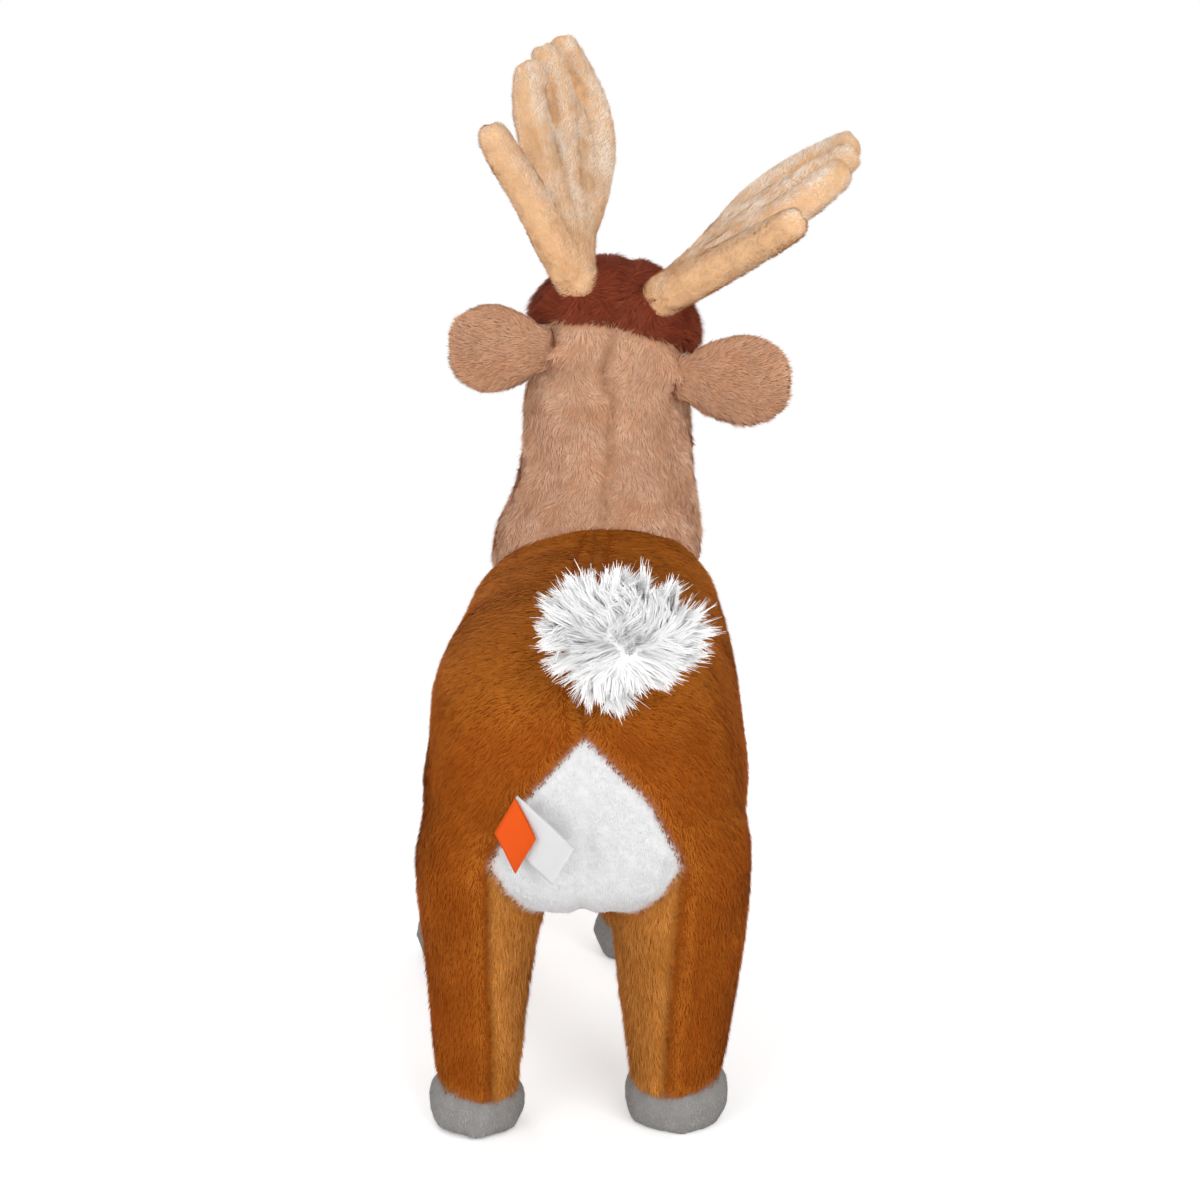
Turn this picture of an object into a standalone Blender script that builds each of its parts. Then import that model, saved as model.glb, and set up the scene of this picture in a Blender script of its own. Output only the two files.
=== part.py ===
"""Standing plush deer with stuffed, floppy antlers: sewn panels, fillings and small parts.

The animal faces -Y, its left side is +X, and it stands on z = 0. Lengths are in metres.
"""

import math

import bmesh
import bpy
import numpy as np
from mathutils import Matrix, Vector
from mathutils.bvhtree import BVHTree

# Fabric and seams
fabric_wall = 0.0026
seam_gap = 0.0003
edge_gap = 0.0005
fill_clearance = 0.0010
overrun = 0.080

# Torso
torso_length = 0.243
torso_width = 0.122
torso_height = 0.109
belly_height = 0.082
rump_overhang = 0.028
torso_squareness = 2.35
front_lean = 0.017
lean_start = 0.010
lean_run = 0.140

# Rump patch and belly panel
patch_apex_height = 0.157
patch_corner_height = 0.101
patch_width = 0.075
patch_depth = 0.050
belly_width = 0.044
belly_panel_rise = 0.016

# Legs and hooves
hoof_height = 0.0175
hoof_dip = 0.0065
hoof_width = 0.0395
hoof_length = 0.045
leg_reach = 0.145
wheelbase = 0.168
hind_stance = 0.072
fore_stance = 0.076
thigh_width = 0.056
thigh_depth = 0.074
shoulder_width = 0.053
shoulder_depth = 0.064
seam_stance_share = 0.84
seam_spread_share = 0.11
sole_wall = 0.0026

# Neck
neck_bottom = 0.150
neck_length = 0.122
neck_width = 0.084
neck_depth = 0.074
neck_ahead = 0.180
neck_slope = 0.012
neck_lean = 0.010
throat_share = 0.50

# Head, in its own frame: origin at its middle, rolled and turned towards the animal's right
head_ahead = 0.192
head_height = 0.258
head_shift = -0.027
head_roll = math.radians(-10.0)
head_turn = math.radians(-8.0)
head_length = 0.140
head_behind = 0.033
head_width = 0.077
head_depth = 0.074
crown_edge = 0.013
crown_side_drop = 0.011
crown_reach = 0.032
muzzle_start = 0.058

# Ears
ear_length = 0.041
ear_width = 0.038
ear_thickness = 0.0074
ear_root_length = 0.017
ear_cup = 0.004
ear_height = -0.005
left_ear_behind = 0.027
right_ear_behind = 0.020
ear_axis_lift = 0.0020
left_ear_droop = math.radians(9.0)
right_ear_droop = math.radians(-10.0)
ear_sweep = math.radians(14.0)

# Antlers
antler_length = 0.094
antler_palm = 0.050
antler_thickness = 0.0145
antler_root = 0.0215
antler_cup = 0.005
antler_spacing = 0.034
antler_behind = 0.023
antler_axis_lift = 0.0030
left_antler_lean = math.radians(24.0)
left_antler_turn = math.radians(-27.0)
left_antler_rake = math.radians(9.0)
right_antler_lean = math.radians(45.0)
right_antler_turn = math.radians(-7.0)
right_antler_rake = math.radians(2.0)

# Eyes, washers and nose
eye_diameter = 0.011
eye_dome = 0.0042
shank_diameter = 0.0036
shank_length = 0.0100
shank_ridge = 0.0004
ridge_shares = ((0.35, 0.48), (0.62, 0.75))
washer_diameter = 0.0120
washer_thickness = 0.0012
eye_ahead = 0.045
eye_height = 0.006
nose_width = 0.019
nose_height = 0.013
nose_length = 0.011

# Tail
tail_width = 0.056
tail_length = 0.052
tail_thickness = 0.022
tail_root = 0.0125
tail_height_share = 0.789
tail_shift = -0.006
tail_rise = math.radians(56.0)
tail_flop = math.radians(-12.0)
tail_axis_lift = 0.0025

# Sewn-in tab and label
tab_width = 0.0155
tab_length = 0.0135
tab_wall = 0.0012
tab_droop_share = 0.55
label_width = 0.0165
label_length = 0.026
label_wall = 0.0005
label_droop_share = 0.12
flap_height = 0.1315
flap_side = 0.0262
flap_clearance = 0.0009
flap_tilt = math.radians(33.0)

# Rings of each form: place along it, then half sizes and the middle's offset, as shares of the sizes above
torso_ring_shares = (
    (0.010, 0.44, 0.46, 0.42),
    (0.075, 0.82, 0.84, 0.455),
    (0.200, 1.00, 0.99, 0.49),
    (0.400, 0.99, 0.98, 0.515),
    (0.620, 0.91, 0.94, 0.525),
    (0.820, 0.83, 0.88, 0.525),
    (0.945, 0.60, 0.66, 0.50),
    (0.990, 0.30, 0.34, 0.49),
)
hind_ring_shares = (
    (0.05, 0.61, 0.50, 0.28, 1.01),
    (0.20, 0.66, 0.53, 0.28, 1.00),
    (0.41, 0.75, 0.61, 0.27, 0.98),
    (0.64, 0.92, 0.83, 0.22, 0.95),
    (0.82, 1.00, 1.00, 0.16, 0.90),
    (1.00, 0.58, 0.66, 0.18, 0.72),
)
fore_ring_shares = (
    (0.05, 0.66, 0.57, 0.32, 1.00),
    (0.20, 0.70, 0.60, 0.32, 1.00),
    (0.41, 0.79, 0.69, 0.28, 0.95),
    (0.64, 0.93, 0.86, 0.20, 0.88),
    (0.82, 1.00, 1.00, 0.14, 0.82),
    (1.00, 0.56, 0.64, 0.11, 0.60),
)
hoof_ring_shares = (
    (-0.50, 0.74, 0.76),
    (0.10, 1.00, 1.00),
    (0.80, 0.99, 0.95),
    (1.60, 0.80, 0.76),
)
neck_ring_shares = (
    (0.00, 1.00, 1.00),
    (0.28, 1.04, 1.01),
    (0.55, 0.90, 0.90),
    (0.80, 0.83, 0.82),
    (1.00, 0.62, 0.62),
)
head_ring_shares = (
    (0.000, 0.48, 0.44, 0.03),
    (0.080, 0.86, 0.82, 0.03),
    (0.240, 1.02, 1.01, 0.02),
    (0.430, 0.92, 0.90, -0.01),
    (0.620, 0.67, 0.65, -0.10),
    (0.800, 0.52, 0.48, -0.17),
    (0.950, 0.43, 0.39, -0.20),
    (1.000, 0.22, 0.20, -0.21),
)
tail_ring_shares = (
    (0.00, 0.20, 0.44, 0.00),
    (0.16, 0.42, 0.66, 0.02),
    (0.42, 0.92, 1.00, 0.06),
    (0.70, 1.00, 1.00, 0.10),
    (0.92, 0.66, 0.72, 0.12),
    (1.00, 0.28, 0.36, 0.12),
)
nose_ring_shares = ((-0.25, 0.40), (-0.05, 0.85), (0.35, 1.00), (0.95, 0.75))
ear_row_shares = (
    (-0.02, 0.42),
    (0.28, 0.82),
    (0.70, 1.06),
    (1.04, 0.52),
)
patch_edge_shares = ((1.00, 0.00), (0.56, 0.60), (0.00, 1.00), (-0.55, 1.00))
# Antler sheet: across as shares of the palm, up as shares of the length
antler_point_shares = (
    (-0.17, 0.02),
    (0.17, 0.02),
    (-0.19, 0.17),
    (0.22, 0.17),
    (-0.28, 0.32),
    (0.44, 0.30),
    (0.08, 0.36),
    (-0.17, 0.52),
    (0.11, 0.63),
    (0.41, 0.61),
    (0.72, 0.45),
    (-0.90, 0.61),
    (-0.71, 0.74),
    (-0.31, 0.95),
    (-0.05, 0.97),
    (0.11, 1.01),
    (0.34, 1.02),
    (0.50, 1.05),
    (0.74, 1.03),
)
antler_faces = (
    (0, 1, 3, 2),
    (2, 3, 5, 6, 4),
    (4, 6, 8, 7),
    (6, 9, 8),
    (6, 5, 10, 9),
    (4, 7, 12, 11),
    (7, 8, 14, 13),
    (8, 9, 16, 15),
    (9, 10, 18, 17),
)

# Facets
torso_sides = 10
leg_sides = 6
neck_sides = 8
head_sides = 8
small_sides = 6
ball_segments = 12
ball_rings = 6
root_sides = 12
turned_steps = 12
merge_distance = 0.00001

parts = None
cutters = None


def clear_scene():
    for obj in list(bpy.data.objects):
        bpy.data.objects.remove(obj, do_unlink=True)


def make_collection(name):
    collection = bpy.data.collections.new(name)
    bpy.context.scene.collection.children.link(collection)
    return collection


def make_empty(name, location=(0, 0, 0), rotation=(0, 0, 0), parent=None):
    empty = bpy.data.objects.new(name, None)
    empty.location = location
    empty.rotation_euler = rotation
    empty.parent = parent
    parts.objects.link(empty)
    return empty


def material(name, colour, roughness, metallic=0.0):
    made = bpy.data.materials.get(name) or bpy.data.materials.new(name)
    made.use_nodes = True
    shader = made.node_tree.nodes["Principled BSDF"]
    shader.inputs["Base Color"].default_value = (*colour, 1.0)
    shader.inputs["Roughness"].default_value = roughness
    shader.inputs["Metallic"].default_value = metallic
    return made


def make_helper(name, mesh, parent=None, location=(0, 0, 0), rotation=(0, 0, 0)):
    """A cutter or guide form, which isn't part of the object."""
    obj = bpy.data.objects.new(name, mesh)
    obj.location = location
    obj.rotation_euler = rotation
    obj.parent = parent
    obj.hide_render = True
    obj.display_type = "WIRE"
    cutters.objects.link(obj)
    return obj


def mesh_from_bmesh(name, bm):
    bmesh.ops.recalc_face_normals(bm, faces=bm.faces)
    mesh = bpy.data.meshes.new(name)
    bm.to_mesh(mesh)
    bm.free()
    return mesh


def section(centre, across, upright, sides, squareness=2.0):
    """Points round a superellipse, set out so that the subdivided ring has the given half sizes."""
    turn = (np.arange(sides) + 0.5) * 2 * math.pi / sides
    power = 2 / squareness
    u = np.sign(np.cos(turn)) * np.abs(np.cos(turn)) ** power
    v = np.sign(np.sin(turn)) * np.abs(np.sin(turn)) ** power
    swell = 4 / (3 + math.cos(2 * math.pi / sides))
    return np.array(centre) + swell * (np.outer(u, across) + np.outer(v, upright))


def loft(name, sections):
    """A closed mesh through sections with as many points each, with a face over either end."""
    bm = bmesh.new()
    rings = [[bm.verts.new(point) for point in ring] for ring in sections]
    sides = len(rings[0])
    for low, high in zip(rings, rings[1:]):
        for i in range(sides):
            j = (i + 1) % sides
            bm.faces.new((low[i], low[j], high[j], high[i]))
    bm.faces.new(rings[0])
    bm.faces.new(rings[-1])
    return mesh_from_bmesh(name, bm)


def add_subdivision(obj, levels=1):
    modifier = obj.modifiers.new("round", "SUBSURF")
    modifier.levels = levels
    modifier.render_levels = levels


def soft_form(name, sections, parent=None, location=(0, 0, 0), rotation=(0, 0, 0)):
    """A stuffed form: a coarse cage with Subdivision Surface."""
    obj = make_helper(name, loft(name, sections), parent, location, rotation)
    add_subdivision(obj)
    return obj


def offset_copy(form, name, distance, coarse=False):
    """The same form moved out, or in where distance is negative, square to its surface."""
    obj = make_helper(name, form.data, form.parent, form.location, form.rotation_euler)
    add_subdivision(obj)
    modifier = obj.modifiers.new("offset", "DISPLACE")
    modifier.mid_level = 0.0
    modifier.strength = distance
    if coarse:
        modifier = obj.modifiers.new("coarse", "DECIMATE")
        modifier.decimate_type = "UNSUBDIV"
        modifier.iterations = 2
    return obj


def add_boolean(obj, operation, other):
    modifier = obj.modifiers.new(f"{operation.lower()} {other.name}", "BOOLEAN")
    modifier.operation = operation
    modifier.object = other
    modifier.solver = "EXACT"


def finished_mesh(obj, name):
    """The evaluated mesh of an object, in its own frame."""
    bpy.context.view_layer.update()
    graph = bpy.context.evaluated_depsgraph_get()
    return bpy.data.meshes.new_from_object(obj.evaluated_get(graph))


def skin_of(name, form, cavity, cut=()):
    """The fabric over a form: the form less its cavity, less what pushes into it."""
    skin = make_helper(name, finished_mesh(form, name), form.parent, form.location, form.rotation_euler)
    add_boolean(skin, "DIFFERENCE", cavity)
    for other in cut:
        add_boolean(skin, "DIFFERENCE", other)
    skin.data = finished_mesh(skin, name)
    skin.modifiers.clear()
    return skin


def piece(name, source, finish, keep=(), cut=(), smooth=True):
    """A part cut from a source form: what lies inside every keep and outside every cut."""
    obj = bpy.data.objects.new(name, finished_mesh(source, name))
    obj.parent = source.parent
    obj.location = source.location
    obj.rotation_euler = source.rotation_euler
    obj.data.materials.clear()
    obj.data.materials.append(finish)
    parts.objects.link(obj)
    for other in keep:
        add_boolean(obj, "INTERSECT", other)
    for other in cut:
        add_boolean(obj, "DIFFERENCE", other)
    if smooth:
        obj.data.shade_smooth()
    return obj


def box(name, low, high, parent=None):
    bm = bmesh.new()
    bmesh.ops.create_cube(bm, size=1)
    low = Vector(low)
    high = Vector(high)
    bmesh.ops.scale(bm, vec=high - low, verts=bm.verts)
    bmesh.ops.translate(bm, vec=(low + high) / 2, verts=bm.verts)
    return make_helper(name, mesh_from_bmesh(name, bm), parent)


def ball(name, radius, parent=None):
    bm = bmesh.new()
    bmesh.ops.create_uvsphere(bm, u_segments=ball_segments, v_segments=ball_rings, radius=radius)
    return make_helper(name, mesh_from_bmesh(name, bm), parent)


def socket_ball(name, radius, parent):
    """A ball whose facets clear a turning ball of the given radius by the seam gap."""
    facets = math.cos(math.pi / ball_segments) * math.cos(math.pi / (2 * ball_rings))
    return ball(name, (radius + seam_gap) / facets, parent)


def rod(name, radius, length, sides, parent):
    """A cylinder along its own Z, with its middle at the parent."""
    bm = bmesh.new()
    bmesh.ops.create_cone(
        bm, cap_ends=True, segments=sides, radius1=radius, radius2=radius, depth=length
    )
    return make_helper(name, mesh_from_bmesh(name, bm), parent)


def outset(outline, distance):
    """A closed outline moved outwards by a distance, with mitred corners; it runs anticlockwise."""
    points = np.array(outline)
    after = np.roll(points, -1, axis=0) - points
    after /= np.linalg.norm(after, axis=1)[:, None]
    before = np.roll(after, 1, axis=0)
    normal = np.stack([after[:, 1] + before[:, 1], -after[:, 0] - before[:, 0]], axis=1)
    length = np.linalg.norm(normal, axis=1)
    normal /= length[:, None]
    return points + normal * (2 * distance / length)[:, None]


def smooth_step(share):
    share = min(max(share, 0.0), 1.0)
    return share * share * (3 - 2 * share)


def lean(y):
    """How far the animal's middle swings to its right as it goes forward."""
    return -front_lean * smooth_step((-y - lean_start) / lean_run)


def surface_point(form, origin, direction):
    """Where a ray meets a form, and the outward normal there, both in the world."""
    bpy.context.view_layer.update()
    graph = bpy.context.evaluated_depsgraph_get()
    tree = BVHTree.FromObject(form, graph)
    inverse = form.matrix_world.inverted()
    start = inverse @ Vector(origin)
    heading = (inverse.to_3x3() @ Vector(direction)).normalized()
    place, normal, _, _ = tree.ray_cast(start, heading)
    turned = (form.matrix_world.to_3x3() @ normal).normalized()
    return form.matrix_world @ place, turned


def finishes():
    return {
        "brown": material("brown plush", (0.30, 0.085, 0.014), 0.9),
        "inner_leg": material("tan-brown plush", (0.42, 0.17, 0.045), 0.9),
        "tan": material("tan plush", (0.48, 0.25, 0.135), 0.9),
        "crown": material("dark plush", (0.125, 0.030, 0.016), 0.9),
        "cream": material("cream plush", (0.80, 0.76, 0.70), 0.9),
        "white": material("white plush", (0.88, 0.88, 0.90), 0.9),
        "tail": material("long white pile", (0.93, 0.93, 0.93), 0.9),
        "hoof": material("grey plush", (0.27, 0.26, 0.25), 0.9),
        "antler": material("sand velour", (0.79, 0.56, 0.33), 0.85),
        "fill": material("fibre fill", (0.85, 0.85, 0.85), 1.0),
        "eye": material("black plastic", (0.01, 0.01, 0.01), 0.12),
        "washer": material("washer plastic", (0.80, 0.80, 0.78), 0.4),
        "nose": material("dark velour", (0.02, 0.015, 0.013), 0.7),
        "tab": material("orange ribbon", (0.90, 0.13, 0.015), 0.6),
        "label": material("white satin", (0.85, 0.85, 0.86), 0.45),
    }


def torso_stations():
    """(y, ring of shares) of each torso ring, from the rump forward."""
    return [(rump_overhang - share[0] * torso_length, share) for share in torso_ring_shares]


def torso_form():
    sections = []
    for y, (_, wide, tall, lift) in torso_stations():
        centre = (lean(y), y, belly_height + lift * torso_height)
        across = (wide * torso_width / 2, 0, 0)
        upright = (0, 0, tall * torso_height / 2)
        sections.append(section(centre, across, upright, torso_sides, torso_squareness))
    return soft_form("torso form", sections)


def rectangle(low_x, high_x, y, low_z, high_z):
    return [(low_x, y, low_z), (high_x, y, low_z), (high_x, y, high_z), (low_x, y, high_z)]


def along_torso():
    """y values from behind the rump to past the chest, close enough to follow the lean."""
    return np.linspace(rump_overhang + overrun, rump_overhang - torso_length - overrun, 9)


def side_block(side):
    """All that lies on one side of the spine seam."""
    sections = []
    for y in along_torso():
        near = lean(y) + side * seam_gap / 2
        far = near + side * (torso_width + overrun)
        sections.append(rectangle(near, far, y, -overrun, head_height + overrun))
    return make_helper(f"side block {side}", loft("side block", sections))


def patch_outline():
    """The kite on the rump, anticlockwise as (x, z) from its apex."""
    rise = patch_apex_height - patch_corner_height
    right = [
        (wide * patch_width / 2, patch_corner_height + up * rise) for up, wide in patch_edge_shares
    ]
    left = [(-x, z) for x, z in right[1:]]
    return [right[0]] + left + right[:0:-1]


def patch_prism(name, clearance):
    outline = outset(patch_outline(), clearance)
    back = rump_overhang + overrun
    front = rump_overhang - patch_depth - clearance
    sections = [[(x, y, z) for x, z in outline] for y in (back, front)]
    return make_helper(name, loft(name, sections))


def belly_block(name, clearance):
    sections = []
    half = belly_width / 2 + clearance
    top = belly_height + belly_panel_rise + clearance
    start = rump_overhang - patch_depth - seam_gap + clearance
    end = rump_overhang - torso_length + patch_depth - clearance
    for y in np.linspace(start, end, 5):
        sections.append(rectangle(lean(y) - half, lean(y) + half, y, 0, top))
    return make_helper(name, loft(name, sections))


def make_torso(finish, form, pushes):
    """Flank panels, rump patch halves, belly panel and filling, round a swelling body."""
    cavity = offset_copy(form, "torso cavity", -fabric_wall, coarse=True)
    skin = skin_of("torso skin", form, cavity, pushes)
    patch = patch_prism("rump patch outline", 0)
    patch_hole = patch_prism("rump patch opening", seam_gap)
    belly = belly_block("belly outline", 0)
    belly_hole = belly_block("belly opening", seam_gap)
    for side, word in ((1, "left"), (-1, "right")):
        block = side_block(side)
        piece(f"flank_panel_{word}", skin, finish["brown"], [block], [patch_hole, belly_hole])
        piece(f"rump_patch_{word}", skin, finish["white"], [block, patch])
    piece("belly_panel", skin, finish["cream"], [belly])
    fill = offset_copy(form, "torso fill", -fabric_wall - fill_clearance, coarse=True)
    piece("body_stuffing", fill, finish["fill"], cut=pushes)


def leg_rings(shares, side, stance, width, depth, rear):
    """Centre, half width and half depth of each ring, from the hoof up."""
    rings = []
    for up, wide, deep, ahead, out in shares:
        y = -(rear + ahead * depth)
        x = side * out * stance / 2 + lean(y) * up
        rings.append(((x, y, up * leg_reach), wide * width / 2, deep * depth / 2))
    return rings


def leg_seam_places(rings, side, stance):
    """The front and back seams' line, which lies inside the leg's middle: a place for each ring."""
    places = []
    for (_, y, z), _, _ in rings:
        share = z / leg_reach
        spread = seam_stance_share + seam_spread_share * share
        places.append((side * spread * stance / 2 + lean(y) * share, y, z))
    return places


def leg_seam_block(name, places, side):
    """All that lies outside a leg's front and back seams."""
    sections = []
    low = (*places[0][:2], -overrun)
    high = (*places[-1][:2], leg_reach + overrun)
    for x, y, z in [low] + places[1:-1] + [high]:
        far = x + side * overrun
        front = y - overrun
        back = y + overrun
        sections.append([(x, front, z), (far, front, z), (far, back, z), (x, back, z)])
    return make_helper(name, loft(name, sections))


def hoof_edge_block(name, seam, y, lift):
    """All that lies above a hoof's edge, which dips to the leg's seam and rises to either side."""
    low = hoof_height - hoof_dip + lift
    high = hoof_height + lift
    reach = hoof_width / 2
    slope = hoof_dip / reach
    outline = [
        (seam - overrun, high + slope * (overrun - reach)),
        (seam, low),
        (seam + overrun, high + slope * (overrun - reach)),
        (seam + overrun, leg_reach + overrun),
        (seam - overrun, leg_reach + overrun),
    ]
    sections = [[(x, y + way, z) for x, z in outline] for way in (-overrun, overrun)]
    return make_helper(name, loft(name, sections))


def make_leg(word, finish, rings, side, stance, rear, torso):
    """Outer and inner panel, hoof wall, sole and filling of one leg, cut by the torso."""
    form = soft_form(
        f"{word} leg form",
        [section(centre, (wide, 0, 0), (0, deep, 0), leg_sides) for centre, wide, deep in rings],
    )
    cavity = offset_copy(form, f"{word} leg cavity", -fabric_wall, coarse=True)
    body = offset_copy(torso, f"{word} body clearance", seam_gap)
    skin = skin_of(f"{word} leg skin", form, cavity, [body])
    foot = rings[0][0]
    seam = leg_seam_places(rings, side, stance)
    above = hoof_edge_block(f"{word} above hoof", seam[0][0], foot[1], seam_gap)
    outside = leg_seam_block(f"{word} outside", seam, side)
    outside_clear = offset_copy_flat(outside, f"{word} outside clearance", -side * seam_gap)
    piece(f"{word}_leg_outer_panel", skin, finish["brown"], [above, outside])
    piece(f"{word}_leg_inner_panel", skin, finish["inner_leg"], [above], [outside_clear])
    middle = -(rear + hoof_length / 2)
    hoof_sections = [
        section(
            (foot[0], middle, up * hoof_height),
            (wide * hoof_width / 2, 0, 0),
            (0, deep * hoof_length / 2, 0),
            leg_sides,
        )
        for up, wide, deep in hoof_ring_shares
    ]
    hoof = soft_form(f"{word} hoof form", hoof_sections)
    corner_low = (foot[0] - hoof_width, middle - hoof_length, sole_wall + seam_gap)
    corner_high = (foot[0] + hoof_width, middle + hoof_length, 2 * hoof_height)
    wall = box(f"{word} hoof wall", corner_low, corner_high)
    leg_side = hoof_edge_block(f"{word} hoof top", seam[0][0], foot[1], 0.0)
    sole = box(f"{word} hoof sole", (*corner_low[:2], 0), (*corner_high[:2], sole_wall))
    piece(f"{word}_hoof", hoof, finish["hoof"], [wall], [leg_side, cavity])
    piece(f"{word}_hoof_sole", hoof, finish["hoof"], [sole])
    fill = offset_copy(form, f"{word} leg fill", -fabric_wall - fill_clearance, coarse=True)
    base = box(
        f"{word} fill base",
        (foot[0] - overrun, foot[1] - overrun, sole_wall + 2 * seam_gap),
        (foot[0] + overrun, foot[1] + overrun, leg_reach + overrun),
    )
    piece(f"{word}_leg_stuffing", fill, finish["fill"], [base], [body])


def offset_copy_flat(block, name, shift):
    """The same block moved sideways."""
    place = (block.location[0] + shift, block.location[1], block.location[2])
    return make_helper(name, block.data, block.parent, place, block.rotation_euler)


def make_legs(finish, torso):
    ends = (
        ("hind", hind_ring_shares, hind_stance, thigh_width, thigh_depth, 0.0),
        ("front", fore_ring_shares, fore_stance, shoulder_width, shoulder_depth, wheelbase),
    )
    for end, shares, stance, width, depth, rear in ends:
        for side, word in ((1, "left"), (-1, "right")):
            rings = leg_rings(shares, side, stance, width, depth, rear)
            make_leg(f"{end}_{word}", finish, rings, side, stance, rear, torso)


def neck_rings():
    """Centre, half width and half depth of each neck ring, from inside the body up."""
    rings = []
    for up, wide, deep in neck_ring_shares:
        y = -(neck_ahead + up * neck_slope)
        x = lean(y) - neck_lean * smooth_step(up)
        z = neck_bottom + up * neck_length
        rings.append(((x, y, z), wide * neck_width / 2, deep * neck_depth / 2))
    return rings


def neck_block(name, rings, low_x, high_x, low_y, high_y):
    """A block that follows the neck: its sides are shares of each ring's half sizes plus an overrun."""
    sections = []
    for (x, y, z), wide, deep in rings:
        corners = ((low_x, low_y), (high_x, low_y), (high_x, high_y), (low_x, high_y))
        sections.append([(x + side(wide), y + way(deep), z) for side, way in corners])
    first = [(x, y, z - overrun) for x, y, z in sections[0]]
    last = [(x, y, z + overrun) for x, y, z in sections[-1]]
    return make_helper(name, loft(name, [first] + sections + [last]))


def make_neck(finish, torso, head):
    """Two side panels that meet at the nape, the throat panel and the filling."""
    rings = neck_rings()
    form = soft_form(
        "neck form",
        [section(centre, (wide, 0, 0), (0, deep, 0), neck_sides) for centre, wide, deep in rings],
    )
    cavity = offset_copy(form, "neck cavity", -fabric_wall, coarse=True)
    body = offset_copy(torso, "neck body clearance", seam_gap)
    skull = offset_copy(head, "neck head clearance", seam_gap)
    skin = skin_of("neck skin", form, cavity, [body, skull])
    throat = neck_block(
        "throat outline",
        rings,
        lambda wide: -overrun,
        lambda wide: overrun,
        lambda deep: -overrun,
        lambda deep: -throat_share * deep,
    )
    behind = offset_copy_flat(throat, "throat clearance", 0.0)
    behind.location[1] = seam_gap
    for side, word in ((1, "left"), (-1, "right")):
        half = neck_block(
            f"neck half {word}",
            rings,
            lambda wide: side * seam_gap / 2,
            lambda wide: side * overrun,
            lambda deep: -overrun,
            lambda deep: overrun,
        )
        piece(f"neck_panel_{word}", skin, finish["tan"], [half], [behind])
    piece("throat_panel", skin, finish["cream"], [throat])
    fill = offset_copy(form, "neck fill", -fabric_wall - fill_clearance, coarse=True)
    piece("neck_stuffing", fill, finish["fill"], cut=[body, skull])


def head_form(frame):
    sections = []
    for along, wide, tall, lift in head_ring_shares:
        centre = (0, head_behind - along * head_length, lift * head_depth)
        across = (wide * head_width / 2, 0, 0)
        upright = (0, 0, tall * head_depth / 2)
        sections.append(section(centre, across, upright, head_sides))
    return soft_form("head form", sections, frame)


def crown_prism(name, frame, clearance):
    """All that lies above the crown's arched edge, back to the brow."""
    half = head_width / 2
    low = crown_edge - crown_side_drop
    shoulder = crown_edge - crown_side_drop / 4
    outline = [(-2 * half, low), (-half, low), (-half / 2, shoulder)]
    outline += [(0, crown_edge)] + [(-x, z) for x, z in outline[::-1]]
    outline += [(2 * half, head_depth + overrun), (-2 * half, head_depth + overrun)]
    moved = outset(outline, clearance)
    front = -crown_reach - clearance
    sections = [[(x, y, z) for x, z in moved] for y in (front, head_behind + overrun)]
    return make_helper(name, loft(name, sections), frame)


def make_head(finish, form, frame, pits, eye_holes):
    """Side panels, crown halves, muzzle and filling; pits are the sockets of the ears and antlers."""
    cavity = offset_copy(form, "head cavity", -fabric_wall, coarse=True)
    skin = skin_of("head skin", form, cavity, pits + eye_holes)
    reach = head_length + overrun
    crown = crown_prism("crown outline", frame, 0)
    crown_hole = crown_prism("crown opening", frame, seam_gap)
    muzzle = box("muzzle outline", (-reach, -reach, -reach), (reach, -muzzle_start, reach), frame)
    face_low = (-reach, -muzzle_start + seam_gap, -reach)
    behind = box("face outline", face_low, (reach, reach, reach), frame)
    for side, word in ((1, "left"), (-1, "right")):
        near, far = sorted((side * seam_gap / 2, side * reach))
        half = box(f"head half {word}", (near, -reach, -reach), (far, reach, reach), frame)
        piece(f"head_panel_{word}", skin, finish["tan"], [behind, half], [crown_hole])
        piece(f"crown_panel_{word}", skin, finish["crown"], [crown, half])
    piece("muzzle_panel", skin, finish["cream"], [muzzle])
    fill = offset_copy(form, "head fill", -fabric_wall - fill_clearance, coarse=True)
    piece("head_stuffing", fill, finish["fill"], cut=pits + eye_holes)


def sheet_half(name, finish, points, faces, side, thickness, root):
    """One fabric half of a flat stuffed piece: a sheet thickened to one side, rounded, with its root.

    The sheet lies in the root's XZ plane and side is the way, along Y, that the half swells.
    """
    parent = root.parent
    bm = bmesh.new()
    verts = [bm.verts.new(point) for point in points]
    made = [bm.faces.new([verts[i] for i in face]) for face in faces]
    bm.normal_update()
    if sum(face.normal.y * face.calc_area() for face in made) * side < 0:
        bmesh.ops.reverse_faces(bm, faces=made)
    mesh = bpy.data.meshes.new(name)
    bm.to_mesh(mesh)
    bm.free()
    obj = make_helper(f"{name} sheet", mesh, parent)
    obj.location[1] = side * edge_gap / 2
    wall = obj.modifiers.new("wall", "SOLIDIFY")
    wall.thickness = thickness
    wall.offset = 1
    wall.edge_crease_inner = 1.0
    add_subdivision(obj)
    near, far = sorted((side * edge_gap / 2, side * overrun))
    half_root = box(
        f"{name} root side", (-overrun, near, -overrun), (overrun, far, overrun), parent
    )
    add_boolean(piece(name, root, finish, [half_root]), "UNION", obj)


def ear_points(side):
    """A cupped leaf in the XZ plane, three points to a row from the root out."""
    points = []
    for along, wide in ear_row_shares:
        for across in (-1, 0, 1):
            bend = ear_cup * along * (across * across)
            points.append((side * along * ear_length, -bend, across * wide * ear_width / 2))
    return points


def ear_faces():
    rows = len(ear_row_shares)
    return [
        (3 * row + i, 3 * row + i + 1, 3 * row + i + 4, 3 * row + i + 3)
        for row in range(rows - 1)
        for i in range(2)
    ]


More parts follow.
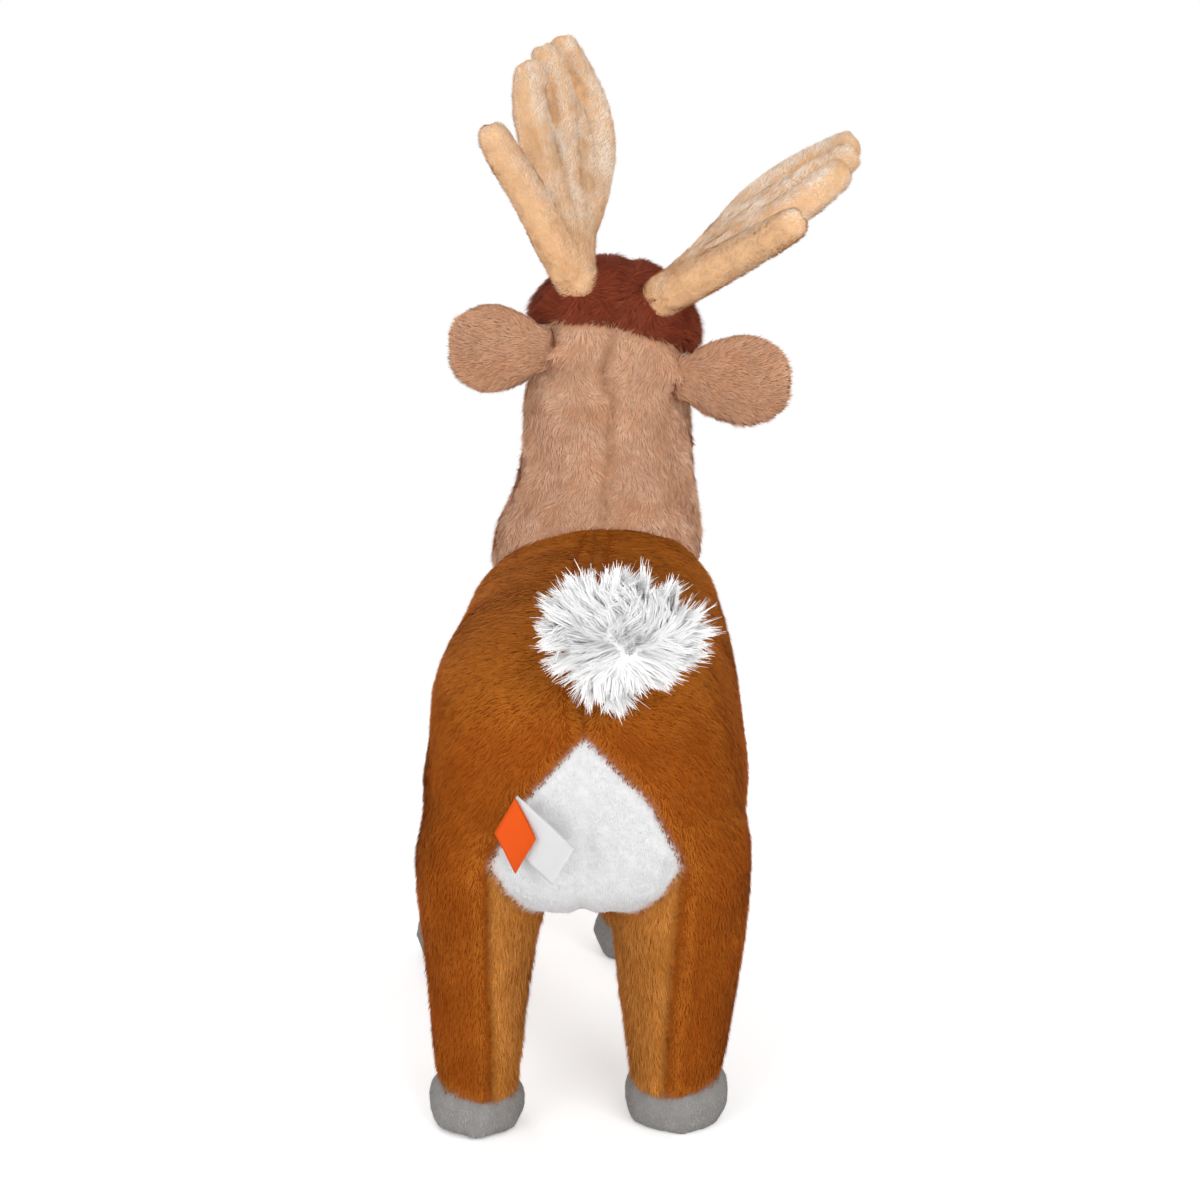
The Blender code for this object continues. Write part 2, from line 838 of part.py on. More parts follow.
def make_ear(finish, side, word, droop, behind, form, frame):
    """Back and lining of one ear; its frame lies on the hinge line along the sewn root."""
    origin = frame.matrix_world @ Vector((0, behind, ear_height))
    outward = frame.matrix_world.to_3x3() @ Vector((side, 0, 0))
    place, normal = surface_point(form, origin, outward)
    place = frame.matrix_world.inverted() @ (place + normal * ear_axis_lift)
    pivot = make_empty(
        f"ear_{word}_pivot", place, (0, side * droop, side * ear_sweep), frame
    )
    radius = ear_thickness / 2
    root = rod(f"ear {word} root", radius, ear_root_length, root_sides, pivot)
    thickness = radius - edge_gap / 2
    for layer, colour, way in (("back", "tan", 1), ("lining", "cream", -1)):
        name = f"ear_{word}_{layer}"
        sheet_half(name, finish[colour], ear_points(side), ear_faces(), way, thickness, root)
    clear = (radius + seam_gap) / math.cos(math.pi / root_sides)
    return rod(f"ear {word} socket", clear, ear_root_length + 2 * seam_gap, root_sides, pivot)


def antler_points(side):
    """The flat antler in the XZ plane: x is forward on its sheet and z is up."""
    points = []
    for across, up in antler_point_shares:
        bend = antler_cup * (across * across) * smooth_step(2 * up)
        points.append((across * antler_palm, -side * bend, up * antler_length))
    return points


def make_antler(finish, side, word, pose, form, frame):
    """Rear and front panel of one antler; its frame lies at the middle of its ball-shaped root."""
    origin = frame.matrix_world @ Vector((side * antler_spacing / 2, antler_behind, 0))
    upward = frame.matrix_world.to_3x3() @ Vector((0, 0, 1))
    place, _ = surface_point(form, origin, upward)
    place = frame.matrix_world.inverted() @ (place + upward * antler_axis_lift)
    hinge = make_empty(f"antler_{word}_hinge", place, (0, 0, 0), frame)
    # The sheet's x is turned forward, then inward, and the whole is leant out and raked back
    tilt, turn, rake = pose
    swing = Matrix.Rotation(side * tilt, 4, "Y") @ Matrix.Rotation(rake, 4, "X")
    spin = Matrix.Rotation(-math.pi / 2 + side * turn, 4, "Z")
    pivot = make_empty(f"antler_{word}_pivot", (0, 0, 0), (swing @ spin).to_euler(), hinge)
    radius = antler_root / 2
    root = ball(f"antler {word} root", radius, pivot)
    thickness = (antler_thickness - edge_gap) / 2
    for layer, way in (("outer", side), ("inner", -side)):
        name = f"antler_{word}_{layer}_panel"
        sheet_half(name, finish["antler"], antler_points(side), antler_faces, way, thickness, root)
    return socket_ball(f"antler {word} socket", radius, hinge)


def turned(name, profile, finish, parent):
    """A profile in the XZ plane, run from the top down at +X, turned about Z."""
    mesh = bpy.data.meshes.new(name)
    edges = [(i, i + 1) for i in range(len(profile) - 1)]
    mesh.from_pydata([(x, 0, z) for x, z in profile], edges, [])
    obj = bpy.data.objects.new(name, mesh)
    obj.parent = parent
    obj.data.materials.append(finish)
    parts.objects.link(obj)
    screw = obj.modifiers.new("turn", "SCREW")
    screw.steps = turned_steps
    screw.render_steps = turned_steps
    screw.use_merge_vertices = True
    screw.merge_threshold = merge_distance
    return obj


def eye_profile():
    """Dome, flat back and ridged shank."""
    radius = eye_diameter / 2
    shank = shank_diameter / 2
    groove = shank - shank_ridge
    points = [(0, eye_dome)]
    for rise in (math.radians(60), math.radians(30), 0):
        points.append((radius * math.cos(rise), eye_dome * math.sin(rise)))
    points.append((shank, 0))
    for start, end in ridge_shares:
        level = -start * shank_length
        points += [(shank, level), (groove, level), (shank, -end * shank_length)]
    return points + [(shank, -shank_length), (0, -shank_length)]


def washer_profile():
    inner = shank_diameter / 2 + seam_gap
    outer = washer_diameter / 2
    return [
        (inner, 0),
        (outer, 0),
        (outer, -washer_thickness),
        (inner, -washer_thickness),
        (inner, 0),
    ]


def make_eyes(finish, form, frame):
    """Domed eyes on the side panels, each with a washer behind the fabric. Returns their holes."""
    holes = []
    for side, word in ((1, "left"), (-1, "right")):
        origin = frame.matrix_world @ Vector((0, -eye_ahead, eye_height))
        outward = frame.matrix_world.to_3x3() @ Vector((side, 0, 0))
        place, normal = surface_point(form, origin, outward)
        inverse = frame.matrix_world.inverted()
        local = inverse.to_3x3() @ normal
        turn = local.to_track_quat("Z", "Y").to_euler()
        seat = make_empty(f"eye_{word}_seat", inverse @ (place + normal * seam_gap), turn, frame)
        turned(f"eye_{word}", eye_profile(), finish["eye"], seat)
        depth = fabric_wall + 4 * seam_gap + washer_diameter**2 / (4 * head_width)
        inside = make_empty(f"washer_{word}_seat", (0, 0, -depth), (0, 0, 0), seat)
        turned(f"eye_washer_{word}", washer_profile(), finish["washer"], inside)
        reach = shank_length + fabric_wall
        hole_radius = shank_diameter / 2 + seam_gap
        hole = rod(f"eye {word} hole", hole_radius, 2 * reach, turned_steps, seat)
        pocket_radius = washer_diameter / 2 + 2 * seam_gap
        pocket = rod(f"eye {word} pocket", pocket_radius, reach, turned_steps, seat)
        pocket.location[2] = -(fabric_wall + seam_gap) - reach / 2 + seam_gap
        holes += [pocket, hole]
    return holes


def make_nose(finish, form, frame):
    tip = head_behind - head_length
    lift = head_ring_shares[-1][3] * head_depth
    sections = []
    for along, size in nose_ring_shares:
        centre = (0, tip + along * nose_length, lift + nose_height / 4)
        across = (size * nose_width / 2, 0, 0)
        upright = (0, 0, size * nose_height / 2)
        sections.append(section(centre, across, upright, small_sides))
    nose = soft_form("nose form", sections, frame)
    seat = offset_copy(form, "nose seat", seam_gap)
    piece("nose", nose, finish["nose"], cut=[seat])


def make_tail(finish, form):
    """A flat tuft on a ball-shaped root; it stands up and back from the rump. Returns its socket."""
    origin = (tail_shift, 0, belly_height + tail_height_share * torso_height)
    place, normal = surface_point(form, origin, (0, 1, 0))
    hinge = make_empty("tail_hinge", place + normal * tail_axis_lift, (0, 0, 0))
    swing = Matrix.Rotation(tail_flop, 4, "Y") @ Matrix.Rotation(tail_rise, 4, "X")
    pivot = make_empty("tail_pivot", (0, 0, 0), swing.to_euler(), hinge)
    sections = []
    for along, wide, thick, bend in tail_ring_shares:
        centre = (0, along * tail_length, bend * tail_thickness)
        across = (wide * tail_width / 2, 0, 0)
        upright = (0, 0, thick * tail_thickness / 2)
        sections.append(section(centre, across, upright, small_sides))
    tuft = soft_form("tail form", sections, pivot)
    root = ball("tail root", tail_root / 2, pivot)
    tail = piece("tail", root, finish["tail"])
    add_boolean(tail, "UNION", tuft)
    return socket_ball("tail socket", tail_root / 2, hinge)


def make_flap(finish, form):
    """A folded tab over a label, both hanging from one seam at the patch's left edge."""
    place, normal = surface_point(form, (flap_side, overrun, flap_height), (0, -1, 0))
    # Local z points off the rump, y runs up the seam and x away from it, over the patch
    upward = Vector((-math.sin(flap_tilt), 0, math.cos(flap_tilt)))
    upward = (upward - normal * upward.dot(normal)).normalized()
    away = upward.cross(normal)
    turn = Matrix((away, upward, normal)).transposed().to_euler()
    pivot = make_empty("flap_pivot", place + normal * flap_clearance, turn)
    for name, colour, length, width, wall, level, droop in (
        ("woven_label", "label", label_length, label_width, label_wall, 0.0, label_droop_share),
        ("ribbon_tab", "tab", tab_length, tab_width, tab_wall, label_wall + seam_gap, tab_droop_share),
    ):
        drop = droop * length
        near = width / 2
        outline = [(0, -near), (length, -near - drop), (length, near - drop), (0, near)]
        sections = [[(x, y, z) for x, y in outline] for z in (level, level + wall)]
        plate = make_helper(f"{name} form", loft(name, sections), pivot)
        piece(name, plate, finish[colour], smooth=False)


def stand_on_origin(root):
    """Moves the whole so that the middle of its box's underside is the origin."""
    bpy.context.view_layer.update()
    graph = bpy.context.evaluated_depsgraph_get()
    corners = []
    for obj in parts.objects:
        if obj.type != "MESH":
            continue
        evaluated = obj.evaluated_get(graph)
        points = np.empty(len(evaluated.data.vertices) * 3, np.float32)
        evaluated.data.vertices.foreach_get("co", points)
        world = np.array(evaluated.matrix_world)
        placed = points.reshape(-1, 3) @ world[:3, :3].T + world[:3, 3]
        corners += [placed.min(axis=0), placed.max(axis=0)]
    low = np.min(corners, axis=0)
    high = np.max(corners, axis=0)
    root.location = (-(low[0] + high[0]) / 2, -(low[1] + high[1]) / 2, -low[2])


def build():
    global parts, cutters
    clear_scene()
    parts = make_collection("plush_deer")
    cutters = make_collection("cutters")
    cutters.hide_render = True
    finish = finishes()
    frame = make_empty(
        "head_frame", (head_shift, -head_ahead, head_height), (0, head_roll, head_turn)
    )
    bpy.context.view_layer.update()
    torso = torso_form()
    skull = head_form(frame)
    tail_socket = make_tail(finish, torso)
    make_torso(finish, torso, [tail_socket])
    make_legs(finish, torso)
    make_neck(finish, torso, skull)
    left_pose = (left_antler_lean, left_antler_turn, left_antler_rake)
    right_pose = (right_antler_lean, right_antler_turn, right_antler_rake)
    pits = [
        make_ear(finish, 1, "left", left_ear_droop, left_ear_behind, skull, frame),
        make_ear(finish, -1, "right", right_ear_droop, right_ear_behind, skull, frame),
        make_antler(finish, 1, "left", left_pose, skull, frame),
        make_antler(finish, -1, "right", right_pose, skull, frame),
    ]
    eye_holes = make_eyes(finish, skull, frame)
    make_head(finish, skull, frame, pits, eye_holes)
    make_nose(finish, skull, frame)
    make_flap(finish, torso)
    root = make_empty("deer_origin")
    for obj in list(parts.objects) + list(cutters.objects):
        if obj.parent is None and obj is not root:
            obj.parent = root
    stand_on_origin(root)


build()
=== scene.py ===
"""Standing plush deer with floppy stuffed antlers: its cloth, pile, face, tail, labels and stage.

The animal faces -Y, its left side is +X, and it stands on z = 0. Lengths are in metres.
"""

import math

import bmesh
import bpy
import numpy as np
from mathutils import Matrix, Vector
from mathutils.bvhtree import BVHTree


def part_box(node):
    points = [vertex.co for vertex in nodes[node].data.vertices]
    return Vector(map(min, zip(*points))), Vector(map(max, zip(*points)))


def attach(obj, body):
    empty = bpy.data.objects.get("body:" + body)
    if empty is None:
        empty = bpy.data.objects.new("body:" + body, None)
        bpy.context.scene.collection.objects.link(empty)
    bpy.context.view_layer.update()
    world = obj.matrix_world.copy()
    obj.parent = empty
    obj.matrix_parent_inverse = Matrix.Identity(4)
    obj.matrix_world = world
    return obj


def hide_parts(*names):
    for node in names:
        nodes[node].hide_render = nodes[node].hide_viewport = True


bl_info = {
    "name": "Plush deer",
    "version": (1, 0, 0),
    "blender": (4, 5, 0),
    "location": "3D View > Sidebar > Plush deer",
    "description": "Dresses the standing plush deer in cloth, pile and its small parts",
    "category": "Object",
}

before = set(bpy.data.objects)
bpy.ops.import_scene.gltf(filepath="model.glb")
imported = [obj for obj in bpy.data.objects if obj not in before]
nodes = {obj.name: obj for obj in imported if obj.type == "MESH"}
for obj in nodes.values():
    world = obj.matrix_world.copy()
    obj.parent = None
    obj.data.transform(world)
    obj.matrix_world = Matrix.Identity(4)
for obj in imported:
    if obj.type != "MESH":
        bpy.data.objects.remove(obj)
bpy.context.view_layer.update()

merge_distance = 0.000001
smooth_rounds = 14  # for the body and the tail
sewn_rounds = 8  # for ears and antlers
broad_rounds = 5
field_rounds = 3
pin_levels = 10
simulated_frames = 20
held_seam = (0.0015, 0.0060)  # cloth is held nearer to a seam, and free further away
held_height = 0.006  # lower cloth is held too
seam_heights = (0.004, 0.012)  # seams aren't drawn in below, and fully above
sides = (("left", 1), ("right", -1))

# The head's own frame, and the eyes' seats, from the hind hooves' rear edge at the floor
hoof_length = 0.045
head_place = (-0.027, -0.192, 0.258)
head_roll = math.radians(-10.0)
head_turn = math.radians(-8.0)
eye_seats = {
    "left": ((-0.009291, -0.240052, 0.268528), (0.5768, -0.4826, 0.6591)),
    "right": ((-0.059394, -0.233010, 0.259606), (-0.8743, -0.2782, 0.3976)),
}
# The other pieces' own frames from there: origin, then the X, Y and Z axes as rows
frames = {
    "flap": (
        (0.026611, 0.022237, 0.131454),
        ((-0.7789, 0.3709, -0.5058), (-0.4306, 0.2702, 0.8612), (0.4560, 0.8885, -0.0508)),
    ),
    "tail": (
        (-0.006201, 0.014948, 0.169692),
        ((0.9781, 0.0, 0.2079), (-0.1724, 0.5592, 0.8109), (-0.1163, -0.8290, 0.5470)),
    ),
    "antler left": (
        (-0.011533, -0.170948, 0.285653),
        ((-0.5921, -0.8055, -0.0254), (0.7767, -0.5620, -0.2845), (0.2148, -0.1882, 0.9584)),
    ),
    "antler right": (
        (-0.044696, -0.166287, 0.279776),
        ((-0.0407, -0.9960, 0.0800), (0.5773, 0.0419, 0.8155), (-0.8155, 0.0794, 0.5732)),
    ),
    "ear left": (
        (0.001109, -0.166896, 0.257024),
        ((0.9948, 0.1015, 0.0124), (-0.1009, 0.9940, -0.0420), (-0.0165, 0.0405, 0.9990)),
    ),
    "ear right": (
        (-0.053087, -0.166806, 0.247432),
        ((0.9286, -0.3711, -0.0051), (0.3710, 0.9277, 0.0420), (-0.0109, -0.0409, 0.9991)),
    ),
}

# What the cloth's operator leaves for the next: the finished cloth's arrays
made = {}


def panel_groups():
    """Each sewn panel's CAD nodes, by name; the first word is its slot."""
    groups = {}
    for word, _ in sides:
        legs = [f"{end}_{word}_leg_outer_panel" for end in ("hind", "front")]
        groups[f"brown {word}"] = [f"flank_panel_{word}"] + legs
        groups[f"white {word}"] = [f"rump_patch_{word}"]
        groups[f"tan {word}"] = [f"head_panel_{word}", f"neck_panel_{word}"]
        groups[f"crown {word}"] = [f"crown_panel_{word}"]
        for end in ("hind", "front"):
            groups[f"inner_leg {end} {word}"] = [f"{end}_{word}_leg_inner_panel"]
            groups[f"hoof {end} {word}"] = [f"{end}_{word}_hoof", f"{end}_{word}_hoof_sole"]
    for part in ("belly", "throat", "muzzle"):
        groups[f"cream {part}"] = [f"{part}_panel"]
    return groups


def fillings():
    legs = [f"{end}_{word}_leg" for end in ("hind", "front") for word, _ in sides]
    return [f"{part}_stuffing" for part in ["body", "neck", "head"] + legs]


def origin():
    """Where the hind hooves' rear edge meets the floor midway between them."""
    corners = [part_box(f"hind_{word}_hoof_sole") for word, _ in sides]
    left, right = ((low + high) / 2 for low, high in corners)
    return np.array(((left.x + right.x) / 2, left.y + hoof_length / 2, 0.0))


def framed(name):
    """A piece's own frame in the CAD frame: its origin and its axes as rows."""
    place, axes = frames[name]
    return origin() + np.array(place), np.array(axes)


def head_axes():
    """The head's X, Y and Z as rows: a turn by the roll about Y, then by the turn about Z."""
    across, up = math.cos(head_roll), math.sin(head_roll)
    ahead, aside = math.cos(head_turn), math.sin(head_turn)
    roll = np.array(((across, 0, up), (0, 1, 0), (-up, 0, across)))
    turn = np.array(((ahead, -aside, 0), (aside, ahead, 0), (0, 0, 1)))
    return (turn @ roll).T


# Arrays and meshes


def unit(vectors):
    """Vectors over their own lengths."""
    return vectors / np.maximum(np.linalg.norm(vectors, axis=-1, keepdims=True), 1e-12)


def along(vectors, normals, share=1.0):
    """Vectors less a share of what they have along the normals, over their lengths."""
    return unit(vectors - normals * (vectors * normals).sum(axis=1, keepdims=True) * share)


def turned(first, second, turn):
    """cos(turn) * first + sin(turn) * second, one row to a turn."""
    return first * np.cos(turn)[:, None] + second * np.sin(turn)[:, None]


def full_turn(count):
    """Angles once round, count of them."""
    return np.arange(count) * 2 * math.pi / count


def mix(first, second, share):
    """first where share is 0, second where it is 1, and a straight blend between."""
    return first + (second - first) * share


def ramp(value, low, high):
    """0 below low, 1 above high, and the cubic 3s^2 - 2s^3 of the share s between them."""
    share = np.clip((value - low) / (high - low), 0.0, 1.0)
    return share * share * (3 - 2 * share)


def bell(away, reach):
    """One where away is zero, fading as exp(-(away / reach)^2)."""
    return np.exp(-((away / reach) ** 2))


def waves(points, size, seed, count=20):
    """Smooth noise, about -1 to 1: a sum of sines along random directions, each about size long."""
    rng = np.random.default_rng(seed)
    ways = unit(rng.normal(size=(count, 3))) * (2 * math.pi / size)
    ways *= rng.uniform(0.55, 1.6, (count, 1))
    phases = rng.uniform(0, 2 * math.pi, count)
    total = np.zeros(len(points))
    for way, phase in zip(ways, phases):
        total += np.sin(points @ way + phase)
    return np.clip(total / math.sqrt(count), -1.6, 1.6) / 1.6


def mesh_values(items, name, kind=np.int32, width=1):
    """One field of all of a mesh's points, edges, faces or corners, width numbers to a row."""
    values = np.empty(len(items) * width, kind)
    items.foreach_get(name, values)
    return values.reshape(-1, width)


def mesh_points(mesh):
    return mesh_values(mesh.vertices, "co", np.float32, 3).astype(float)


def mesh_edges(mesh):
    return mesh_values(mesh.edges, "vertices", width=2)


def face_corners(mesh):
    """The four points of each face of a mesh of quads."""
    return mesh_values(mesh.loops, "vertex_index").reshape(-1, 4)


def set_points(mesh, points):
    mesh.vertices.foreach_set("co", np.ascontiguousarray(points, np.float32).ravel())
    mesh.update()


def point_normals(points, triangles):
    """The mean of the normals of the triangles at each point, weighted by their areas."""
    a, b, c = (points[triangles[:, i]] for i in range(3))
    face = np.cross(b - a, c - a)
    total = np.zeros_like(points)
    for i in range(3):
        for axis in range(3):
            total[:, axis] += np.bincount(triangles[:, i], face[:, axis], len(points))
    return unit(total)


def surface(mesh):
    """A mesh's points, its triangles and the points' normals."""
    mesh.calc_loop_triangles()
    points = mesh_points(mesh)
    triangles = mesh_values(mesh.loop_triangles, "vertices", width=3)
    return points, triangles, point_normals(points, triangles)


def neighbour_mean(edges, count):
    """A function from the points' values to the means of their neighbours' values."""
    ends, others = np.concatenate((edges, edges[:, ::-1])).T
    number = np.maximum(np.bincount(ends, minlength=count), 1)[:, None]

    def mean(values):
        columns = [np.bincount(ends, column, count) for column in values[others].T]
        return np.stack(columns, axis=1) / number

    return mean


def averaged(values, edges, rounds):
    """Each point's values moved half way to the mean of its neighbours, some rounds over."""
    mean = neighbour_mean(edges, len(values))
    for _ in range(rounds):
        values = (values + mean(values)) / 2
    return values


def faired(points, edges, rounds):
    """Smoothing that keeps the volume: half way to the neighbours' mean, then back out, in turn."""
    mean = neighbour_mean(edges, len(points))
    for share in (0.50, -0.52) * rounds:
        points = points + share * (mean(points) - points)
    return points


def new_mesh(name, points, faces):
    """A mesh from arrays; all faces have the same number of corners."""
    mesh = bpy.data.meshes.new(name)
    mesh.vertices.add(len(points))
    mesh.loops.add(faces.size)
    mesh.loops.foreach_set("vertex_index", np.ascontiguousarray(faces, np.int32).ravel())
    mesh.polygons.add(len(faces))
    starts = np.arange(0, faces.size, faces.shape[1], dtype=np.int32)
    mesh.polygons.foreach_set("loop_start", starts)
    mesh.vertices.foreach_set("co", np.ascontiguousarray(points, np.float32).ravel())
    mesh.update(calc_edges=True)
    return mesh


def edited(mesh, change, sources=()):
    """The mesh, or its sources in one, changed as a bmesh and written back."""
    bm = bmesh.new()
    for source in sources or (mesh,):
        bm.from_mesh(source)
    change(bm)
    bm.to_mesh(mesh)
    bm.free()
    return mesh


def link_object(name, mesh):
    obj = bpy.data.objects.new(name, mesh)
    bpy.context.scene.collection.objects.link(obj)
    return obj


def finish_piece(obj, body, materials, replaced=()):
    """Gives a piece its materials, ties it to its CAD body and hides the CAD nodes that it
    replaces.
    """
    for material in materials:
        obj.data.materials.append(material)
    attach(obj, body)
    if replaced:
        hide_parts(*replaced)


def painted(mesh, name, tones):
    """Colours of the points as an attribute, which the material reads."""
    rgba = np.ones((len(mesh.vertices), 4), np.float32)
    rgba[:, :3] = np.clip(tones.reshape(-1, 3), 0, 1)
    layer = mesh.color_attributes.new(name, "FLOAT_COLOR", "POINT")
    layer.data.foreach_set("color", rgba.ravel())


def bake_map(mesh, count, corners):
    """The corners' UV, for count like shapes, each in its own cell of a square grid."""
    across = max(1, math.ceil(math.sqrt(count)))
    index = np.arange(count)
    cells = np.stack((index % across, index // across), axis=1)[:, None]
    uv = (cells + np.reshape(corners, (-1, 2))) / across
    mesh.uv_layers.new(name="OFBake").uv.foreach_set("vector", uv.astype(np.float32).ravel())


def grid_faces(rows, columns, closed=False):
    """Quads between the points of a grid, wound so that rows x columns is the outward side."""
    i = np.arange(rows - 1)[:, None] * columns
    j = np.arange(columns if closed else columns - 1)[None]
    k = (j + 1) % columns
    return np.stack((i + j, i + columns + j, i + columns + k, i + k), axis=-1).reshape(-1, 4)


def evaluated(obj):
    """The object's mesh with its modifiers applied."""
    bpy.context.view_layer.update()
    graph = bpy.context.evaluated_depsgraph_get()
    return bpy.data.meshes.new_from_object(obj.evaluated_get(graph))


def modified(obj, kind, **settings):
    """Puts a modifier on an object and makes its result the object's mesh."""
    modifier = obj.modifiers.new(kind.lower(), kind)
    for name, value in settings.items():
        setattr(modifier, name, value)
    mesh = evaluated(obj)
    obj.modifiers.clear()
    obj.data = mesh


def add_node(tree, kind, inputs=None, **settings):
    """A new node with its settings and inputs, each fed by a value or by another node's output."""
    node = tree.nodes.new(kind)
    for name, value in settings.items():
        setattr(node, name, value)
    feed(node, inputs or {})
    return node


def feed(node, inputs):
    for key, value in inputs.items():
        if isinstance(value, bpy.types.NodeSocket):
            node.id_data.links.new(value, node.inputs[key])
        else:
            node.inputs[key].default_value = value


# Cloth from the CAD solids


def joined_copy(name, sources, more=()):
    """Copies of CAD nodes and more meshes in one, the doubles of their loose triangles merged."""

    def merge(bm):
        bmesh.ops.remove_doubles(bm, verts=bm.verts, dist=merge_distance)

    meshes = [nodes[source].data for source in sources] + list(more)
    return link_object(name, edited(bpy.data.meshes.new(name), merge, meshes))


def root_plugs():
    """What fills the pits of ears and antlers in the head's cloth: a ball or rod in each root."""
    grids = []
    for kind, axis, reach, radius, upright in (
        ("antler", 2, 0.002, 0.0072, 1),
        ("ear", 1, 0.006, 0.0030, 2),
    ):
        for word, _ in sides:
            start, axes = framed(f"{kind} {word}")
            path = start + np.outer((-reach, 0, reach), axes[axis])
            grids.append(finger_rings(path, np.full(3, radius), axes[upright]))
    return closed_mesh("root plugs", grids)


def keep_outer_shell(mesh):
    """Keeps the largest connected shell: every point takes its neighbours' lowest label."""
    ends = mesh_edges(mesh)
    labels = np.arange(len(mesh.vertices))
    before = None
    while before is None or (labels != before).any():
        before = labels.copy()
        np.minimum.at(labels, ends, before[ends].min(axis=1, keepdims=True))
        labels = labels[labels]
    names, counts = np.unique(labels, return_counts=True)
    kept = labels == names[counts.argmax()]

    def drop(bm):
        lost = [vert for vert in bm.verts if not kept[vert.index]]
        bmesh.ops.delete(bm, geom=lost, context="VERTS")

    if not kept.all():
        edited(mesh, drop)


def remeshed(obj, voxel, rounds):
    """One even skin round the joined solids, with the steps of its voxels smoothed away.

    The broad part of what the smoothing took (its average over a few rings) is added back.
    """
    modified(obj, "REMESH", mode="VOXEL", voxel_size=voxel)
    keep_outer_shell(obj.data)
    edges = mesh_edges(obj.data)
    raw = mesh_points(obj.data)
    smooth = faired(raw, edges, rounds)
    set_points(obj.data, smooth + averaged(raw - smooth, edges, broad_rounds))


def panel_fields(obj, groups):
    """Distance from each point to each group's CAD nodes, one column to a group."""
    tree = bpy.data.node_groups.new("panel distance", "GeometryNodeTree")
    for end in ("INPUT", "OUTPUT"):
        tree.interface.new_socket("Geometry", in_out=end, socket_type="NodeSocketGeometry")
    flow = tree.nodes.new("NodeGroupInput").outputs[0]
    for index, sources in enumerate(groups.values()):
        join = tree.nodes.new("GeometryNodeJoinGeometry")
        for source in sources:
            info = add_node(tree, "GeometryNodeObjectInfo", {"Object": nodes[source]})
            feed(join, {0: info.outputs["Geometry"]})
        near = add_node(
            tree, "GeometryNodeProximity", {0: join.outputs[0]}, target_element="FACES"
        ).outputs["Distance"]
        flow = add_node(
            tree,
            "GeometryNodeStoreNamedAttribute",
            {"Name": f"distance {index}", "Value": near, "Geometry": flow},
            data_type="FLOAT",
            domain="POINT",
        ).outputs[0]
    add_node(tree, "NodeGroupOutput", {0: flow})
    modifier = obj.modifiers.new("distances", "NODES")
    modifier.node_group = tree
    mesh = evaluated(obj)
    stored = [mesh.attributes[f"distance {index}"].data for index in range(len(groups))]
    fields = np.hstack([mesh_values(column, "value", np.float32) for column in stored])
    obj.modifiers.remove(modifier)
    bpy.data.meshes.remove(mesh)
    bpy.data.node_groups.remove(tree)
    return averaged(fields.astype(float), mesh_edges(obj.data), field_rounds)


def seam_distance(fields):
    """How far a point lies from the nearest seam: the second nearest panel less the nearest."""
    nearest = np.partition(fields, 1, axis=1)
    return nearest[:, 1] - nearest[:, 0]


def puffed(obj, seam, inset, cap):
    """The skin drawn in by inset, then blown up by pressure, its seams held, by cap at most."""
    mesh = obj.data
    points, _, normals = surface(mesh)
    start = points - normals * inset
    set_points(mesh, start)
    hold = obj.vertex_groups.new(name="seams")
    weights = np.maximum(1 - ramp(seam, *held_seam), points[:, 2] < held_height)
    steps = np.round(weights * pin_levels).astype(int)
    for level in range(1, pin_levels + 1):
        chosen = np.flatnonzero(steps == level).tolist()
        if chosen:
            hold.add(chosen, level / pin_levels, "REPLACE")
    modifier = obj.modifiers.new("air", "CLOTH")
    cloth = modifier.settings
    cloth.quality = 4
    cloth.use_pressure = True
    cloth.uniform_pressure_force = sizes().pressure
    cloth.vertex_group_mass = hold.name
    cloth.effector_weights.gravity = 0
    modifier.point_cache.frame_start = 1
    modifier.point_cache.frame_end = simulated_frames
    scene = bpy.context.scene
    for step in range(1, simulated_frames + 1):
        scene.frame_set(step)
    graph = bpy.context.evaluated_depsgraph_get()
    move = mesh_points(obj.evaluated_get(graph).data) - start
    scene.frame_set(1)
    obj.modifiers.remove(modifier)
    obj.vertex_groups.clear()
    far = np.linalg.norm(move, axis=1, keepdims=True)
    move *= np.minimum(1.0, cap / np.maximum(far, 1e-9))
    set_points(mesh, start + averaged(move, mesh_edges(mesh), 2))


def subdivided(obj):
    modified(obj, "SUBSURF", levels=1, render_levels=1)


def sewn_cloth(obj, groups, voxel, rounds, inset, swell, depth, reach, shaped=None):
    """The joined solids as one puffed skin, given its last shape by shaped(points, normals).

    Its seams are drawn in by depth * exp(-(distance / reach)^2), less near the floor.
    Gives what a pile needs: points, triangles, normals, groups, their fields, distance to a seam.
    """
    remeshed(obj, voxel, rounds)
    puffed(obj, seam_distance(panel_fields(obj, groups)), inset, swell)
    subdivided(obj)
    fields = panel_fields(obj, groups)
    seam = seam_distance(fields)
    points, triangles, normals = surface(obj.data)
    depths = depth * ramp(points[:, 2], *seam_heights) * bell(seam, reach)
    points = points - normals * depths[:, None]
    if shaped is not None:
        points = shaped(points, normals)
    set_points(obj.data, points)
    obj.data.shade_smooth()
    return {
        "points": points,
        "triangles": triangles,
        "normals": point_normals(points, triangles),
        "seam": seam,
        "fields": fields,
        "groups": groups,
    }


def hollow(mesh, points, normals):
    """How far a point lies under the mean of the points round it: above 0 in a crease."""
    edges = mesh_edges(mesh)
    depth = ((averaged(points, edges, 8) - points) * normals).sum(axis=1)
    return averaged(depth[:, None], edges, 2)[:, 0]


# Pile

